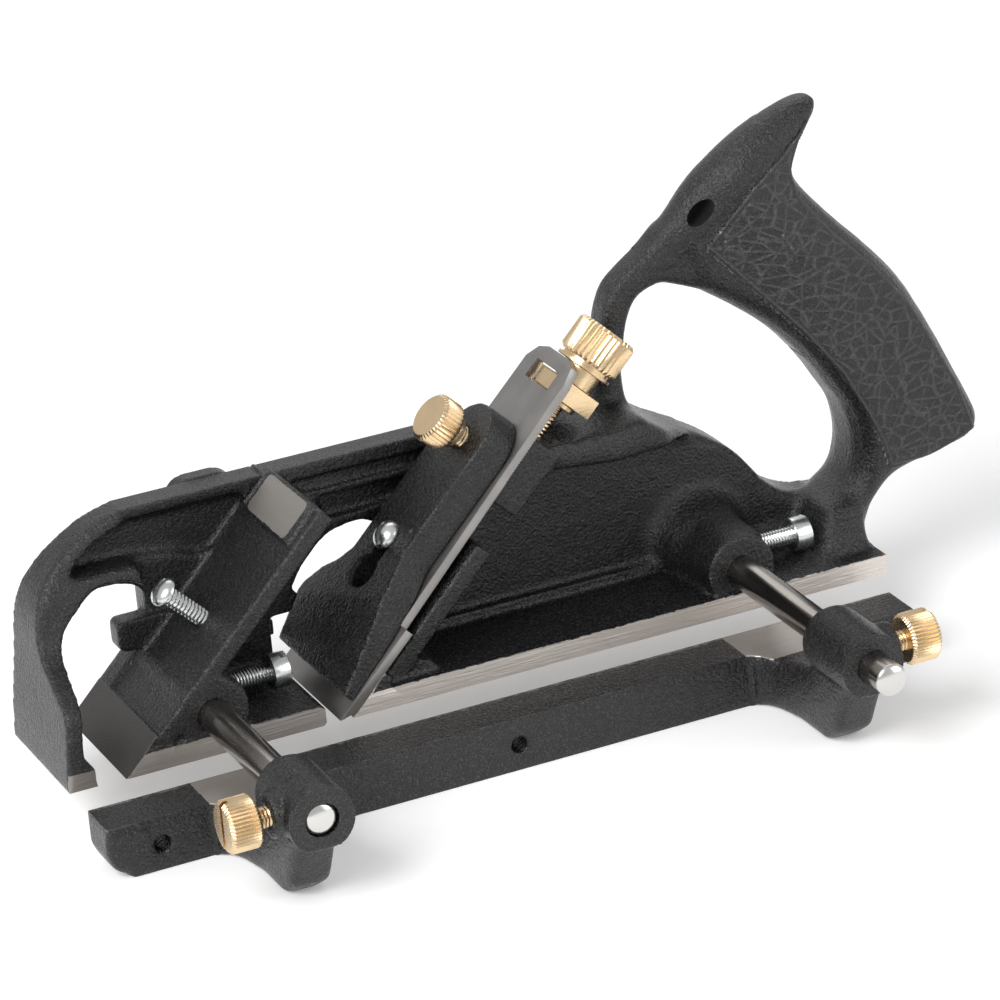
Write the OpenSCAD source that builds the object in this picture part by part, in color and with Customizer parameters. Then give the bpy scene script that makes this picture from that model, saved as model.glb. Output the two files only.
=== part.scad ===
// Rebate plane: cast body with bullnose bed and open handle, cutter with screw adjuster,
// lever cap, sliding fence on two rods, depth stop and spur. Sizes in millimetres.
// X runs from toe to heel, Y from the fence side to the flat side, Z up from the sole.

/* [Sole and wall] */
// Length of the sole
sole_length = 215; // [200:1:240]
// Width of the sole and of the cutting edge
sole_width = 38; // [34:0.5:44]
// Thickness of the sole flange
sole_thickness = 5; // [4:0.5:7]
// Thickness of the side wall at the front
wall_thickness = 7; // [5:0.5:10]
// Thickness of the side wall behind the mouth
rear_wall_thickness = 12; // [8:0.5:14]
// Height of the top rail
rail_height = 52.5; // [48:0.5:58]
// Depth of the recess in the wall panel
panel_depth = 2.5; // [1:0.5:4]

/* [Beds] */
// Slope of both cutter beds in degrees
bed_slope = 45; // [40:1:50]
// Distance of the bullnose bed foot from the toe
bullnose_station = 14.6; // [12:0.2:18]
// Thickness of the bullnose bed
bullnose_bed_thickness = 5; // [4:0.5:8]
// Rear end of the front sole, from the toe
mouth_station = 65.2; // [63:0.2:67]
// Distance of the main bed foot from the toe
bed_station = 72; // [71:0.2:74]
// Sideways offset of the cutter shank from the middle of the sole
iron_offset = -1.5; // [-3:0.5:0]

/* [Cutter and lever cap] */
// Thickness of the cutter
blade_thickness = 2.4; // [2:0.1:3.5]
// Bevel angle of the cutting edge
bevel_angle = 30; // [25:1:35]
// Length of the cutter along the bed
blade_top = 97.8; // [95:0.1:97.9]
// Thickness of the lever cap
cap_thickness = 8.4; // [6:0.2:10]
// Height of the lever cap screw along the bed
cap_screw_station = 39; // [37:0.5:41]
// Distance from the lever cap screw down to the wide end of the keyhole
keyhole_travel = 10; // [9.5:0.5:12]
// Height of the lever cap thumbscrew along the bed
cap_thumb_station = 68; // [66:0.5:70]

/* [Adjuster] */
// Diameter of the adjuster stud
stud_diameter = 4; // [3:0.5:5]
// Depth of the stud axis below the bed plane
stud_depth = 6; // [5.5:0.5:7]
// Diameter of the knurled adjuster nut
adjuster_diameter = 15.5; // [12:0.5:18]
// Width of the adjuster slide across the cutter
slide_width = 16; // [13:0.5:20]

/* [Fence] */
// Diameter of the fence rods
rod_diameter = 8; // [6:0.5:9]
// Height of the rod axes above the sole
rod_height = 10; // [9.5:0.5:12]
// Front rod distance from the toe
front_rod_station = 37.9; // [36:0.1:40]
// Rear rod distance from the toe
rear_rod_station = 176.4; // [174:0.1:178]
// Front rod length
front_rod_length = 100; // [90:1:102]
// Rear rod length
rear_rod_length = 100; // [90:1:110]
// Distance of the fence guide face from the middle of the sole
fence_face = 27; // [21:0.5:34]
// Fence bar width
fence_width = 12.5; // [10:0.5:16]
// Fence bar height
fence_height = 13.3; // [10:0.1:16]
// Gap between the fence top and the sole plane
fence_drop = 1; // [0.5:0.1:3]
// Diameter of the fence hubs
hub_diameter = 16; // [14:0.5:20]
// Diameter of the facing holes through the fence
facing_hole_diameter = 4; // [3:0.1:5]
// Spacing of the facing holes
facing_hole_spacing = 90; // [70:1:95]

/* [Screws] */
// Thread diameter of the rod set screws and fence thumbscrews
set_thread = 5; // [4:0.5:6]
// Head diameter of the rod set screws
set_head = 8.5; // [7:0.5:10]
// Head diameter of the knurled fence thumbscrews
thumb_head = 12.5; // [11:0.5:16]
// Head diameter of the lever cap thumbscrew
cap_thumb_head = 12.4; // [10:0.2:15]
// Thread diameter of the lever cap screw
cap_thread = 4.8; // [4:0.1:6]
// Head diameter of the lever cap screw
cap_head = 7.6; // [6.5:0.1:8.5]
// Thread diameter of the bullnose screw
bullnose_thread = 4.6; // [3.5:0.1:5]
// Head diameter of the bullnose screw
bullnose_head = 7.4; // [6:0.1:8]

/* [Depth stop and spur] */
// Width of the depth stop shank
stop_width = 17.5; // [15:0.5:20]
// Depth stop distance from the toe
stop_station = 54.5; // [53:0.5:56]
// Underside of the depth stop foot above the sole
stop_height = 8; // [4:0.5:12]
// Thread diameter of the depth stop thumbscrew
stop_thread = 6; // [5:0.5:6]
// Spur pivot distance from the toe
spur_station = 59; // [58:0.5:60]
// Reach of the spur lobes from the pivot
spur_reach = 6.3; // [5.5:0.1:6.5]

/* [Handle] */
// Reach of the grip behind the heel
grip_reach = 36; // [33:0.5:40]
// Thickness of the grip
grip_thickness = 22; // [20:0.5:24]
// Thickness of the handle strut
strut_thickness = 8.8; // [8:0.2:9]
// Sideways offset of the strut from the middle of the sole
strut_offset = 11; // [10.9:0.1:12]
// Sideways offset of the grip from the middle of the sole
grip_offset = 5; // [3:0.5:7]
// Diameter of the hanging hole in the horn
hang_hole_diameter = 4.6; // [4:0.2:5]

/* [Hidden] */
$fn = 48;
half = sole_width / 2;
wall_near = half - wall_thickness;
rear_wall_near = half - rear_wall_thickness;
// Radial running clearance of every rod and screw
run = 0.05;
// Gap between flat faces that slide on each other
face_gap = 0.1;
// Step of the bed pads in from the sides of the sole
pad_inset = 0.2;
// Room left past the end of a cut
past = 1;
front_rod_end = -83.2;
rear_rod_end = -93;
set_front_y = -4;
set_rear_y = -5;
thumb_y = -74;
block_rear = 47;
rear_boss_end = 186.4;
grip_back = sole_length + grip_reach;
// Top of the rod set screw heads, and room from there to the grip's foot
set_top = 24.2;
foot_start = rear_rod_station + set_top + 0.4;
foot_end = 215;
stop_screw_tip = wall_near + panel_depth + 1;
spur_screw_tip = wall_near + 1.5;
cap_back = blade_thickness + face_gap;
cap_front = cap_back + cap_thickness;
stop_thickness = 4.5;
stop_screw_height = 36;
washer_thickness = 1;
spur_height = 6;
spur_thickness = 1.2;
spur_recess = 1.6;
stud_foot = 64;
stud_top = 107;
enamel = [0.08, 0.08, 0.09];
steel = [0.6, 0.6, 0.6];
brass = [0.85, 0.68, 0.3];

// Curves through a few points
function blend(a, b, c, d, t) =
    0.5 * (2 * b + (c - a) * t + (2 * a - 5 * b + 4 * c - d) * t * t + (3 * b - a - 3 * c + d) * t * t * t);
function at(p, i) = p[min(max(i, 0), len(p) - 1)];
function curve(p, n) = concat(
    [for (i = [0 : len(p) - 2]) for (k = [0 : n - 1])
        blend(at(p, i - 1), p[i], p[i + 1], at(p, i + 2), k / n)],
    [p[len(p) - 1]]
);
function wrap(p, i) = p[(i + len(p)) % len(p)];
function heading(p, i) =
    let (v = wrap(p, i + 1) - wrap(p, i - 1)) v / norm(v);
function inset(p, d) = [for (i = [0 : len(p) - 1])
    p[i] + d * [heading(p, i)[1], -heading(p, i)[0]]];

function both_sides(p, share, middle) = concat(
    [for (i = [0 : len(p) - 1]) [p[i][0], middle[i][1] + p[i][1] * share]],
    [for (i = [len(p) - 1 : -1 : 0]) [p[i][0], middle[i][1] - p[i][1] * share]]
);

// Placing helpers
module from_toe() {
    translate([-sole_length / 2, 0, 0]) children();
}

module on_bed(station) {
    translate([station, 0, 0]) rotate([0, -bed_slope, 0]) children();
}

// Side profile in X and Z, from one Y to another
module across(y0, y1) {
    translate([0, y1, 0]) rotate([90, 0, 0]) linear_extrude(y1 - y0) children();
}

module rod(d, y0, y1) {
    translate([0, y1, 0]) rotate([90, 0, 0]) cylinder(d = d, h = y1 - y0);
}

module bar(d, x0, x1) {
    translate([x0, 0, 0]) rotate([0, 90, 0]) cylinder(d = d, h = x1 - x0);
}

// Slotted or plain screw standing on its tip along Z
module screw(thread, tip, neck, head, top, slot_width, slot_depth) {
    difference() {
        union() {
            translate([0, 0, tip]) cylinder(d = thread, h = neck - tip);
            translate([0, 0, neck]) cylinder(d = head, h = top - neck);
        }
        translate([-head, -slot_width / 2, top - slot_depth]) cube([2 * head, slot_width, slot_depth + past]);
    }
}

// Outlines
nose_outer = curve([
    [0.8, 0], [1.5, 9], [3.2, 21], [5.2, 34], [11, 42.5], [22, 49.8], [31, rail_height]], 4);
window_edge = curve([[34.6, 30.6], [32.6, 32.8], [28.5, 34.1], [24.5, 34.3], [20.5, 34]], 3);
nose_window = curve([[33, 35], [30.4, 36.4], [26, 37.4], [21.3, 37], [18.2, 35.6]], 3);
nose_back = curve([[15, 33.4], [11.6, 30.4], [9.6, 27], [8.4, 23], [7.2, 18.5], [6, 12], [5.8, 7]], 3);
nose_width = curve([[-18.5, 0], [-17.5, 16], [-12, 20.5], [0, 26.5], [5.5, 38], [12, rail_height]], 4);
opening_edge = curve([
    [158, 52], [163, 46.5], [168.7, 42.4], [176, 38.6], [183, 34.4], [189.3, 29.2], [193, 24.5],
    [197.2, 19.4], [202.5, 15.4], [208, 13]], 3);
strut_outer = curve([[152.5, 48], [153.8, 58], [156.2, 72], [158.8, 78.4], [162.4, 81.8], [168, 85.6]], 3);
grip_outer = [
    [174.2, 91.2], [182.2, 100.8], [187.6, 105.2], [194.2, 109.8], [205.4, 115.2], [215.4, 116.4],
    [210, 107.8], [206.8, 101], [208.6, 95.8], [216, 86.6], [225, 76.8], [234, 65], [grip_back - 4.8, 40.4], [grip_back, 25.2],
    [grip_back - 14.6, 20],
    [226.5, 17.6], [221, 12], [216.5, 4]];
grip_inner = [
    [204.5, 4], [209.8, 15.2], [215, 18], [217.8, 26], [216.3, 36.3], [212, 44], [207, 51.9], [199.3, 61.1],
    [190.2, 68.7], [181.6, 74.6]];
strut_inner = curve([[172, 78.4], [166, 76.6], [162.4, 71.5], [160.2, 60], [161.2, 48]], 3);

// Sole in two pieces with the toe pad standing apart
module sole() {
    across(-half, half)
        polygon([[bullnose_station, 0], [mouth_station - 1.2, 0], [mouth_station, 1.2],
            [mouth_station, sole_thickness - 1.2], [mouth_station - 1.2, sole_thickness],
            [bullnose_station + sole_thickness, sole_thickness]]);
    across(-half, half)
        polygon([[bed_station, 0], [sole_length, 0], [sole_length, sole_thickness],
            [bed_station + sole_thickness, sole_thickness]]);
}

// Hooked nose, wide at the foot and narrow at the rail
module nose() {
    difference() {
        intersection() {
            across(-half, half)
                polygon(concat(nose_outer, nose_window, nose_back, [[8, 4], [8, 0]]));
            translate([-past, 0, 0]) rotate([90, 0, 90]) linear_extrude(sole_length)
                polygon(concat(nose_width, [[half, rail_height], [half, 0]]));
        }
        front_panel();
    }
}

// Recess in the near side of the nose and the wall, with a rim all round
module front_panel() {
    across(-half, wall_near + panel_depth)
        polygon([[15, 40.2], [17.8, 43.4], [24, 47], [31, rail_height - 3.2], [62, rail_height - 3.2],
            [62, 40], [49, 36.4], [43, 38.8], [30, 40.4], [20, 40.4]]);
}

// Flat side wall from the nose to the heel
module wall() {
    difference() {
        across(wall_near, half)
            polygon(concat([[bullnose_station, 0], [34.6, 20]], window_edge,
                [[20.5, 47], [31, rail_height], [128, rail_height], [155, 52.3]], opening_edge,
                [[sole_length, 12], [sole_length, 0]]));
        front_panel();
        // Two grooves that leave ridges along the rail
        across(wall_near - past, wall_near + panel_depth - 0.9)
            polygon([[73, rail_height - 3.6], [117, rail_height - 3.6], [112, rail_height - 7.4],
                [77, rail_height - 7.4]]);
        across(wall_near - past, wall_near + panel_depth)
            polygon([[80, 43.4], [110, 43.4], [106, 39], [96, 37.6], [82, 37.2]]);
    }
    across(rear_wall_near, half)
        polygon(concat([[bed_station + 6, 0], [118, 46], [131, rail_height], [155, 52.3]], opening_edge,
            [[sole_length, 12], [sole_length, 0]]));
    across(rear_wall_near - 2.5, half)
        polygon([[bed_station + 8, 0], [bed_station + 10, 7.5], [sole_length - 4, 7.5], [sole_length, 0]]);
}

// Bed for the cutter when it is set close to the toe
module bullnose_bed() {
    on_bed(bullnose_station) {
        translate([0, -half + 0.5, -bullnose_bed_thickness])
            cube([76.6, half + wall_near + panel_depth + 0.5, bullnose_bed_thickness - 0.8]);
        translate([0, -half + pad_inset, -3.4]) cube([12.5, sole_width - 2 * pad_inset, 3.4]);
        translate([65.7, -half + 3.5, -3.4]) cube([10.9, half + 6.5, 3.4]);
        translate([39.5, iron_offset, -10]) cylinder(d = 12, h = 6);
    }
    across(wall_near - 2, wall_near + 4)
        polygon([[26.3, 18.5], [26.3, 24.2], [27.2, 25.2], [42, 25.2], [42, 17.5], [28, 17.5]]);
    across(-half + 1.5, wall_near + past)
        polygon([[bullnose_station + 4, 2], [bullnose_station + 18, 16], [38, 19.4], [block_rear - 5, 18.6],
            [block_rear - 1, 15], [block_rear, 12], [block_rear, 2]]);
}

// Ribs and pads that carry the main cutter
module frog() {
    on_bed(bed_station) {
        translate([4, -half + 2.5, -6.4]) cube([46, half - 2.5 + wall_near + past, 4.6]);
        translate([0, -half + pad_inset, -3.4]) cube([13, sole_width - 2 * pad_inset, 3.4]);
        translate([60, -12, -9]) cube([18, 12 + wall_near + past, 9]);
        translate([cap_screw_station, iron_offset, -12]) cylinder(d = 12, h = 9);
    }
    across(-half + 3, wall_near + past)
        polygon([[bed_station + 4, 1], [bed_station + 14, 10], [bed_station + 22, 8], [bed_station + 28, 1]]);
}

// Bosses that hold the rods, with room for the set screws
module rod_bosses() {
    translate([front_rod_station, 0, rod_height]) rod(18, -half + 0.3, wall_near);
    translate([rear_rod_station, 0, rod_height]) {
        rod(18, -half + 1.5, rear_wall_near + past);
        translate([0, rear_wall_near + past, 0]) rotate([90, 0, 0]) cylinder(d1 = 30, d2 = 22, h = 4.5);
        translate([0, rear_wall_near - 3, 0]) rotate([90, 0, 0]) cylinder(d1 = 23, d2 = 17.6, h = 8);
    }
    across(set_rear_y - 6, rear_wall_near + past)
        polygon([[rear_rod_station, 2], [rear_rod_station, 17], [rear_rod_station + 6, 17.5],
            [rear_boss_end, 14.5], [rear_boss_end, 2]]);
    across(-half + 4, rear_wall_near)
        polygon([[rear_rod_station - 11, 3], [rear_rod_station - 7, 8], [rear_rod_station + 7, 8],
            [rear_rod_station + 11, 3]]);
}

// Shoulder that joins the frog, the wall and the handle strut
module shoulder() {
    intersection() {
        across(-half, half)
            polygon([[123, 46], [128.5, 51.6], [150, 51.2], [158, 51.2], [163, 47], [168.7, 42.9],
                [178, 37.8], [160, 41], [140, 43.5]]);
        translate([0, 0, 30]) linear_extrude(50)
            polygon([[126, -11.5], [150, -10.5], [165, -5], [178, rear_wall_near], [178, half], [126, half]]);
    }
}

module handle_layer(outline, share) {
    intersection() {
        across(-half, half) polygon(outline);
        translate([0, 0, 5]) linear_extrude(130) handle_plan(share);
        translate([140, 0, 0]) rotate([90, 0, 90]) linear_extrude(sole_length) handle_height(share);
    }
}

// Plan of the handle, offset towards the wall to clear the adjuster, and its taper up the horn
module handle_plan(share) {
    polygon(both_sides([
        [140, strut_thickness / 2], [164, strut_thickness / 2], [180, 5.6], [190, 7.4],
        [205, grip_thickness / 2 - 1], [214, grip_thickness / 2],
        [grip_back + 4, grip_thickness / 2]], share, [
        [140, strut_offset], [164, strut_offset], [180, 10], [190, 8.4], [205, grip_offset],
        [214, grip_offset], [grip_back + 4, grip_offset]]));
}

module handle_height(share) {
    polygon([for (p = both_sides([
        [3, grip_thickness / 2], [78, grip_thickness / 2], [98, 8], [110, 6.4], [121, 4.4]], share, [
        [3, grip_offset], [78, grip_offset], [98, 7.5], [110, 7.5], [121, 7.5]])) [p[1], p[0]]]);
}

module handle() {
    grip = concat(grip_outer, grip_inner);
    handle_layer(concat(strut_outer, curve(grip_outer, 3), curve(grip_inner, 3), strut_inner), 0.5);
    handle_layer(curve(inset(grip, 1), 3), 0.8);
    handle_layer(curve(inset(grip, 2.6), 3), 1);
    across(strut_offset - strut_thickness / 2, strut_offset + strut_thickness / 2)
        polygon(concat(strut_outer, [grip_outer[0], grip_inner[len(grip_inner) - 1]], strut_inner));
    // Flare of the grip's foot on the sole
    for (k = [0 : 3]) across(-half + 5.5 + 2 * k, grip_offset + 6)
        polygon([[foot_start + 1.6 * k, 3], [foot_start + 1.6 * k, 6.5 + 2.6 * k],
            [foot_end - 5, 7 + 2.7 * k], [foot_end - 1.5 + k, 6.5 + 2.4 * k], [foot_end - 0.3 * k, 3]]);
}

module body() {
    color(enamel) from_toe() difference() {
        union() {
            sole();
            nose();
            wall();
            bullnose_bed();
            frog();
            rod_bosses();
            shoulder();
            handle();
        }
        body_cuts();
    }
}

module body_cuts() {
    // Everything under the sole plane
    translate([-past, -half - past, -20]) cube([sole_length + 2 * past, sole_width + 2 * past, 20]);
    // Side opening at the mouth
    across(wall_near - 3, half + past)
        polygon(concat([[mouth_station, -past], [mouth_station, 16], [70.9, 16], [73, 20], [71.5, 21.8]],
            curve([[74, 26], [78.5, 30.8], [82.5, 33.6], [87, 34.6], [91, 34.8], [95.5, 32.4],
                [bed_station + 28.5, 28.5]], 3),
            [[bed_station, 0], [bed_station - past, -past]]));
    // Rod bores
    translate([front_rod_station, 0, rod_height]) rod(rod_diameter + 2 * run, -half - past, half + past);
    translate([rear_rod_station, 0, rod_height]) rod(rod_diameter + 2 * run, -half - past, half + past);
    // Tapped holes of the rod set screws
    translate([0, set_front_y, rod_height])
        bar(set_thread + 2 * run, front_rod_station, block_rear + past);
    translate([0, set_rear_y, rod_height])
        bar(set_thread + 2 * run, rear_rod_station, rear_boss_end + past);
    // Tapped holes of the lever cap screw and the bullnose screw
    on_bed(bed_station) translate([cap_screw_station, iron_offset, -20])
        cylinder(d = cap_thread + 2 * run, h = 30);
    on_bed(bullnose_station) translate([39.5, iron_offset, -20])
        cylinder(d = bullnose_thread + 2 * run, h = 30);
    // Room for the adjuster and the hole of its stud
    on_bed(bed_station) translate([0, iron_offset, -stud_depth]) {
        bar(stud_diameter, stud_foot, 90);
        bar(adjuster_diameter + 6 * face_gap, 79, 125);
    }
    // Hanging hole through the horn
    translate([182.2, 0, 94.2]) rod(hang_hole_diameter, -half, half + past);
    // Tapped hole of the depth stop thumbscrew
    translate([stop_station, 0, stop_screw_height])
        rod(stop_thread + 2 * run, stop_screw_tip - 0.5, half + past);
    // Recess and tapped hole of the spur
    translate([spur_station, 0, spur_height]) {
        rod(2 * spur_reach + 1.4, half - spur_recess, half + past);
        rod(4 + 2 * run, spur_screw_tip - 0.5, half);
    }
}

module blade() {
    color(steel) from_toe() on_bed(bed_station) difference() {
        intersection() {
            linear_extrude(blade_thickness)
                polygon([[-5, -half], [24, -half], [24, -15.5], [92, -12.5], [96.5, -10.8], [blade_top, -7],
                    [blade_top, 3], [96.5, 7], [93, 9.5], [24, 10], [24, half], [-5, half]]);
            across(-half - past, half + past)
                polygon([[-blade_thickness, blade_thickness],
                    [-blade_thickness + blade_thickness / tan(bevel_angle), face_gap],
                    [blade_top + past, face_gap], [blade_top + past, blade_thickness]]);
        }
        translate([88.9, iron_offset - 6, -past]) cube([5, 12, blade_thickness + 2 * past]);
        translate([cap_screw_station - 5.5, iron_offset, -past]) linear_extrude(blade_thickness + 2 * past) {
            circle(d = cap_thread + 1.4);
            translate([0, -cap_thread / 2 - 0.7]) square([9, cap_thread + 1.4]);
            translate([9, 0]) circle(d = cap_thread + 1.4);
        }
    }
}

module lever_cap() {
    color(enamel) from_toe() on_bed(bed_station) difference() {
        intersection() {
            linear_extrude(cap_front)
                polygon(concat([[3, 0.5 - half], [20, 1.6 - half], [30, -15.4], [39, -12], [69, -12]],
                    [for (a = [-90 : 15 : 0]) [69 + 9 * cos(a), -3 + 9 * sin(a)]],
                    [for (a = [15 : 15 : 90]) [60 + 18 * cos(a), -3 + 12 * sin(a)]],
                    [[32, 9], [27.5, 11.4], [23.5, 15.4], [18, half - 0.6], [3, half - 0.6]]));
            hull() {
                across(-half, past - half)
                    polygon([[3, cap_back], [79, cap_back], [79, cap_front], [28, cap_front],
                        [3, cap_back + 2.6]]);
                across(half - past, half)
                    polygon([[3, cap_back], [79, cap_back], [79, cap_front], [15, cap_front],
                        [3, cap_back + 5]]);
            }
        }
        translate([cap_screw_station, iron_offset, 0]) cylinder(d = cap_thread + 0.6, h = 20);
        translate([cap_screw_station - keyhole_travel, iron_offset, 0]) cylinder(d = cap_head + 1, h = 20);
        translate([cap_screw_station - keyhole_travel, iron_offset - cap_thread / 2 - 0.3, 0])
            cube([keyhole_travel, cap_thread + 0.6, 20]);
        translate([cap_thumb_station, iron_offset, 0]) cylinder(d = 6 + 2 * run, h = 20);
    }
}

module lever_cap_thumbscrew() {
    color(brass) from_toe() on_bed(bed_station) translate([cap_thumb_station, iron_offset, 0]) {
        translate([0, 0, cap_back]) cylinder(d = 6, h = 14.6 - cap_back);
        translate([0, 0, cap_front + 1.6]) cylinder(d = 8, h = 3);
        translate([0, 0, 14.6]) cylinder(d = cap_thumb_head, h = 6.4);
    }
}

module lever_cap_screw() {
    color(steel) from_toe() on_bed(bed_station) translate([cap_screw_station, iron_offset, 0])
        rotate([0, 0, 35])
            screw(cap_thread, -11, cap_front + face_gap, cap_head, cap_front + 3, 1.1, 1.3);
}

module bullnose_screw() {
    color(steel) from_toe() on_bed(bullnose_station) translate([39.5, iron_offset, 0])
        rotate([0, 0, 20]) screw(bullnose_thread, -9, 10.6, bullnose_head, 13, 1.1, 1.2);
}

module adjuster_stud() {
    color(brass) from_toe() on_bed(bed_station) translate([0, iron_offset, -stud_depth])
        bar(stud_diameter, stud_foot, stud_top);
}

module adjuster_nut() {
    color(brass) from_toe() on_bed(bed_station) translate([0, iron_offset, -stud_depth]) difference() {
        union() {
            bar(9, 87.4, 88.7);
            bar(7, 88.7, 93.7);
            bar(10, 93.7, 98);
            bar(adjuster_diameter - 1, 98, 99);
            bar(adjuster_diameter - 3, 99, 99.8);
            bar(adjuster_diameter, 99.8, 109);
        }
        bar(stud_diameter + 2 * run, 80, 120);
    }
}

module adjuster_slide() {
    color(brass) from_toe() on_bed(bed_station) translate([0, iron_offset, 0]) difference() {
        union() {
            translate([88.8, -slide_width / 2, -stud_depth - 4.6]) cube([4.8, slide_width, stud_depth + 3.6]);
            translate([89.2, -5.4, -2]) cube([4.2, 8.4, blade_thickness + 0.9]);
        }
        translate([0, 0, -stud_depth]) bar(7 + 2 * run, 80, 100);
    }
}

module fence() {
    top = -fence_drop;
    foot = -fence_drop - fence_height;
    color(enamel) from_toe() difference() {
        union() {
            across(-fence_face - fence_width, -fence_face)
                polygon([[1.8, top], [1.8, foot + 6], [3.6, foot + 2], [8, foot], [211, foot], [211, top]]);
            for (x = [front_rod_station, rear_rod_station]) translate([x, 0, 0]) {
                translate([-5, 0, 0]) rotate([90, 0, 90]) linear_extrude(10)
                    polygon([[-fence_face - fence_width + past, foot], [-66, foot], [-72, foot + 4],
                        [-78, 2], [-80, rod_height], [-65, rod_height], [-63, 5], [-57, 1], [-48, top],
                        [-fence_face - fence_width + past, top]]);
                translate([0, 0, foot]) linear_extrude(fence_height)
                    polygon([[-12, -fence_face - fence_width + past], [-8.6, -41.5], [-6.6, -45.5], [-5, -54],
                        [5, -54], [6.6, -45.5], [8.6, -41.5], [12, -fence_face - fence_width + past]]);
                translate([0, 0, rod_height]) rod(hub_diameter, -83, -62.5);
            }
            translate([0, thumb_y, rod_height]) bar(11, front_rod_station - 9.6, front_rod_station);
            translate([0, thumb_y, rod_height]) bar(11, rear_rod_station, rear_rod_station + 9.6);
        }
        for (x = [front_rod_station, rear_rod_station])
            translate([x, 0, rod_height]) rod(rod_diameter + 2 * run, -90, -50);
        translate([0, thumb_y, rod_height])
            bar(set_thread + 2 * run, front_rod_station - 20, front_rod_station);
        translate([0, thumb_y, rod_height])
            bar(set_thread + 2 * run, rear_rod_station, rear_rod_station + 20);
        for (k = [-1, 0, 1]) translate([105 + k * facing_hole_spacing, 0, top - 7])
            rod(facing_hole_diameter, -fence_face - fence_width - past, -fence_face + past);
    }
}

module fence_rod_front() {
    color(steel) from_toe() translate([front_rod_station, 0, rod_height])
        rod(rod_diameter, front_rod_end, front_rod_end + front_rod_length);
}

module fence_rod_rear() {
    color(steel) from_toe() translate([rear_rod_station, 0, rod_height])
        rod(rod_diameter, rear_rod_end, rear_rod_end + rear_rod_length);
}

// Knurled thumbscrew with its tip on the rod, its head towards minus X
module fence_thumbscrew() {
    tip = rod_diameter / 2 + face_gap;
    rotate([0, -90, 0]) screw(set_thread, tip, 12.6, thumb_head, 20.2, 1.4, 1.8);
}

module fence_thumbscrew_front() {
    color(brass) from_toe() translate([front_rod_station, thumb_y, rod_height]) fence_thumbscrew();
}

module fence_thumbscrew_rear() {
    color(brass) from_toe() translate([rear_rod_station, thumb_y, rod_height])
        mirror([1, 0, 0]) fence_thumbscrew();
}

module rod_set_screw() {
    rotate([0, 90, 0])
        screw(set_thread, rod_diameter / 2 + face_gap, set_top - 4.6, set_head, set_top, 1.3, 1.8);
}

module rod_set_screw_front() {
    color(steel) from_toe() translate([front_rod_station, set_front_y, rod_height])
        rotate([20, 0, 0]) rod_set_screw();
}

module rod_set_screw_rear() {
    color(steel) from_toe() translate([rear_rod_station, set_rear_y, rod_height])
        rotate([-15, 0, 0]) rod_set_screw();
}

module depth_stop() {
    inner = half + face_gap;
    corner = 5.5;
    top = 52.9 - corner;
    side = stop_width / 2 - corner;
    color(enamel) from_toe() translate([stop_station, 0, 0]) difference() {
        union() {
            across(inner, inner + stop_thickness)
                polygon(concat([[-stop_width / 2, stop_height], [stop_width / 2, stop_height]],
                    [for (a = [0 : 15 : 90]) [side + corner * cos(a), top + corner * sin(a)]],
                    [for (a = [90 : 15 : 180]) [-side + corner * cos(a), top + corner * sin(a)]]));
            translate([-14, inner, stop_height]) cube([28, 18, 4]);
        }
        across(half - past, inner + stop_thickness + past) {
            translate([0, 23]) circle(d = stop_thread + 0.6);
            translate([-stop_thread / 2 - 0.3, 23]) square([stop_thread + 0.6, 22]);
            translate([0, 45]) circle(d = stop_thread + 0.6);
        }
    }
}

module depth_stop_thumbscrew() {
    head = half + face_gap + stop_thickness + washer_thickness + 2 * face_gap;
    color(brass) from_toe() translate([stop_station, 0, stop_screw_height]) {
        rod(stop_thread, stop_screw_tip, head);
        rod(thumb_head, head, head + 6.5);
    }
}

module depth_stop_washer() {
    inner = half + 2 * face_gap + stop_thickness;
    color(steel) from_toe() translate([stop_station, 0, stop_screw_height]) difference() {
        rod(12, inner, inner + washer_thickness);
        rod(stop_thread + 2 * run, inner - past, inner + 2 * washer_thickness);
    }
}

module spur() {
    inner = half - spur_recess + face_gap;
    color(steel) from_toe() translate([spur_station, 0, spur_height]) difference() {
        union() {
            rod(8, inner, inner + spur_thickness);
            for (a = [90, 210, 330]) rotate([0, -a, 0]) across(inner, inner + spur_thickness)
                polygon([[0, -2.6], [4.6, -2.2], [spur_reach - 0.3, -1.2], [spur_reach - 0.1, 0],
                    [spur_reach - 0.3, 1.2], [4.6, 2.2], [0, 2.6]]);
        }
        rod(4 + 2 * run, half - 5, half + past);
        translate([0, inner + 0.5, 0]) rod(6.4 + 2 * run, 0, past);
    }
}

module spur_screw() {
    inner = half - spur_recess + face_gap;
    color(steel) from_toe() translate([spur_station, 0, spur_height]) difference() {
        union() {
            rod(4, spur_screw_tip, inner + 0.6);
            rod(6.4, inner + 0.6, half - 0.1);
        }
        translate([-4, half - 0.6, -0.5]) cube([8, past, 1]);
    }
}

body();
blade();
lever_cap();
lever_cap_thumbscrew();
lever_cap_screw();
bullnose_screw();
adjuster_stud();
adjuster_nut();
adjuster_slide();
fence();
fence_rod_front();
fence_rod_rear();
fence_thumbscrew_front();
fence_thumbscrew_rear();
rod_set_screw_front();
rod_set_screw_rear();
depth_stop();
depth_stop_thumbscrew();
depth_stop_washer();
spur();
spur_screw();
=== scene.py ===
"""Looks of a cast iron rebate plane: its pieces, finishes, camera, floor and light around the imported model.

Lengths in the classes are millimetres. A station is a distance from the toe along the sole.
"""

from __future__ import annotations

import logging
import math
from dataclasses import dataclass, field, replace
from enum import Enum
from typing import Any, Callable, Dict, List, Optional, Sequence, Tuple

import bpy
import numpy as np
from mathutils import Matrix, Vector

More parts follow.
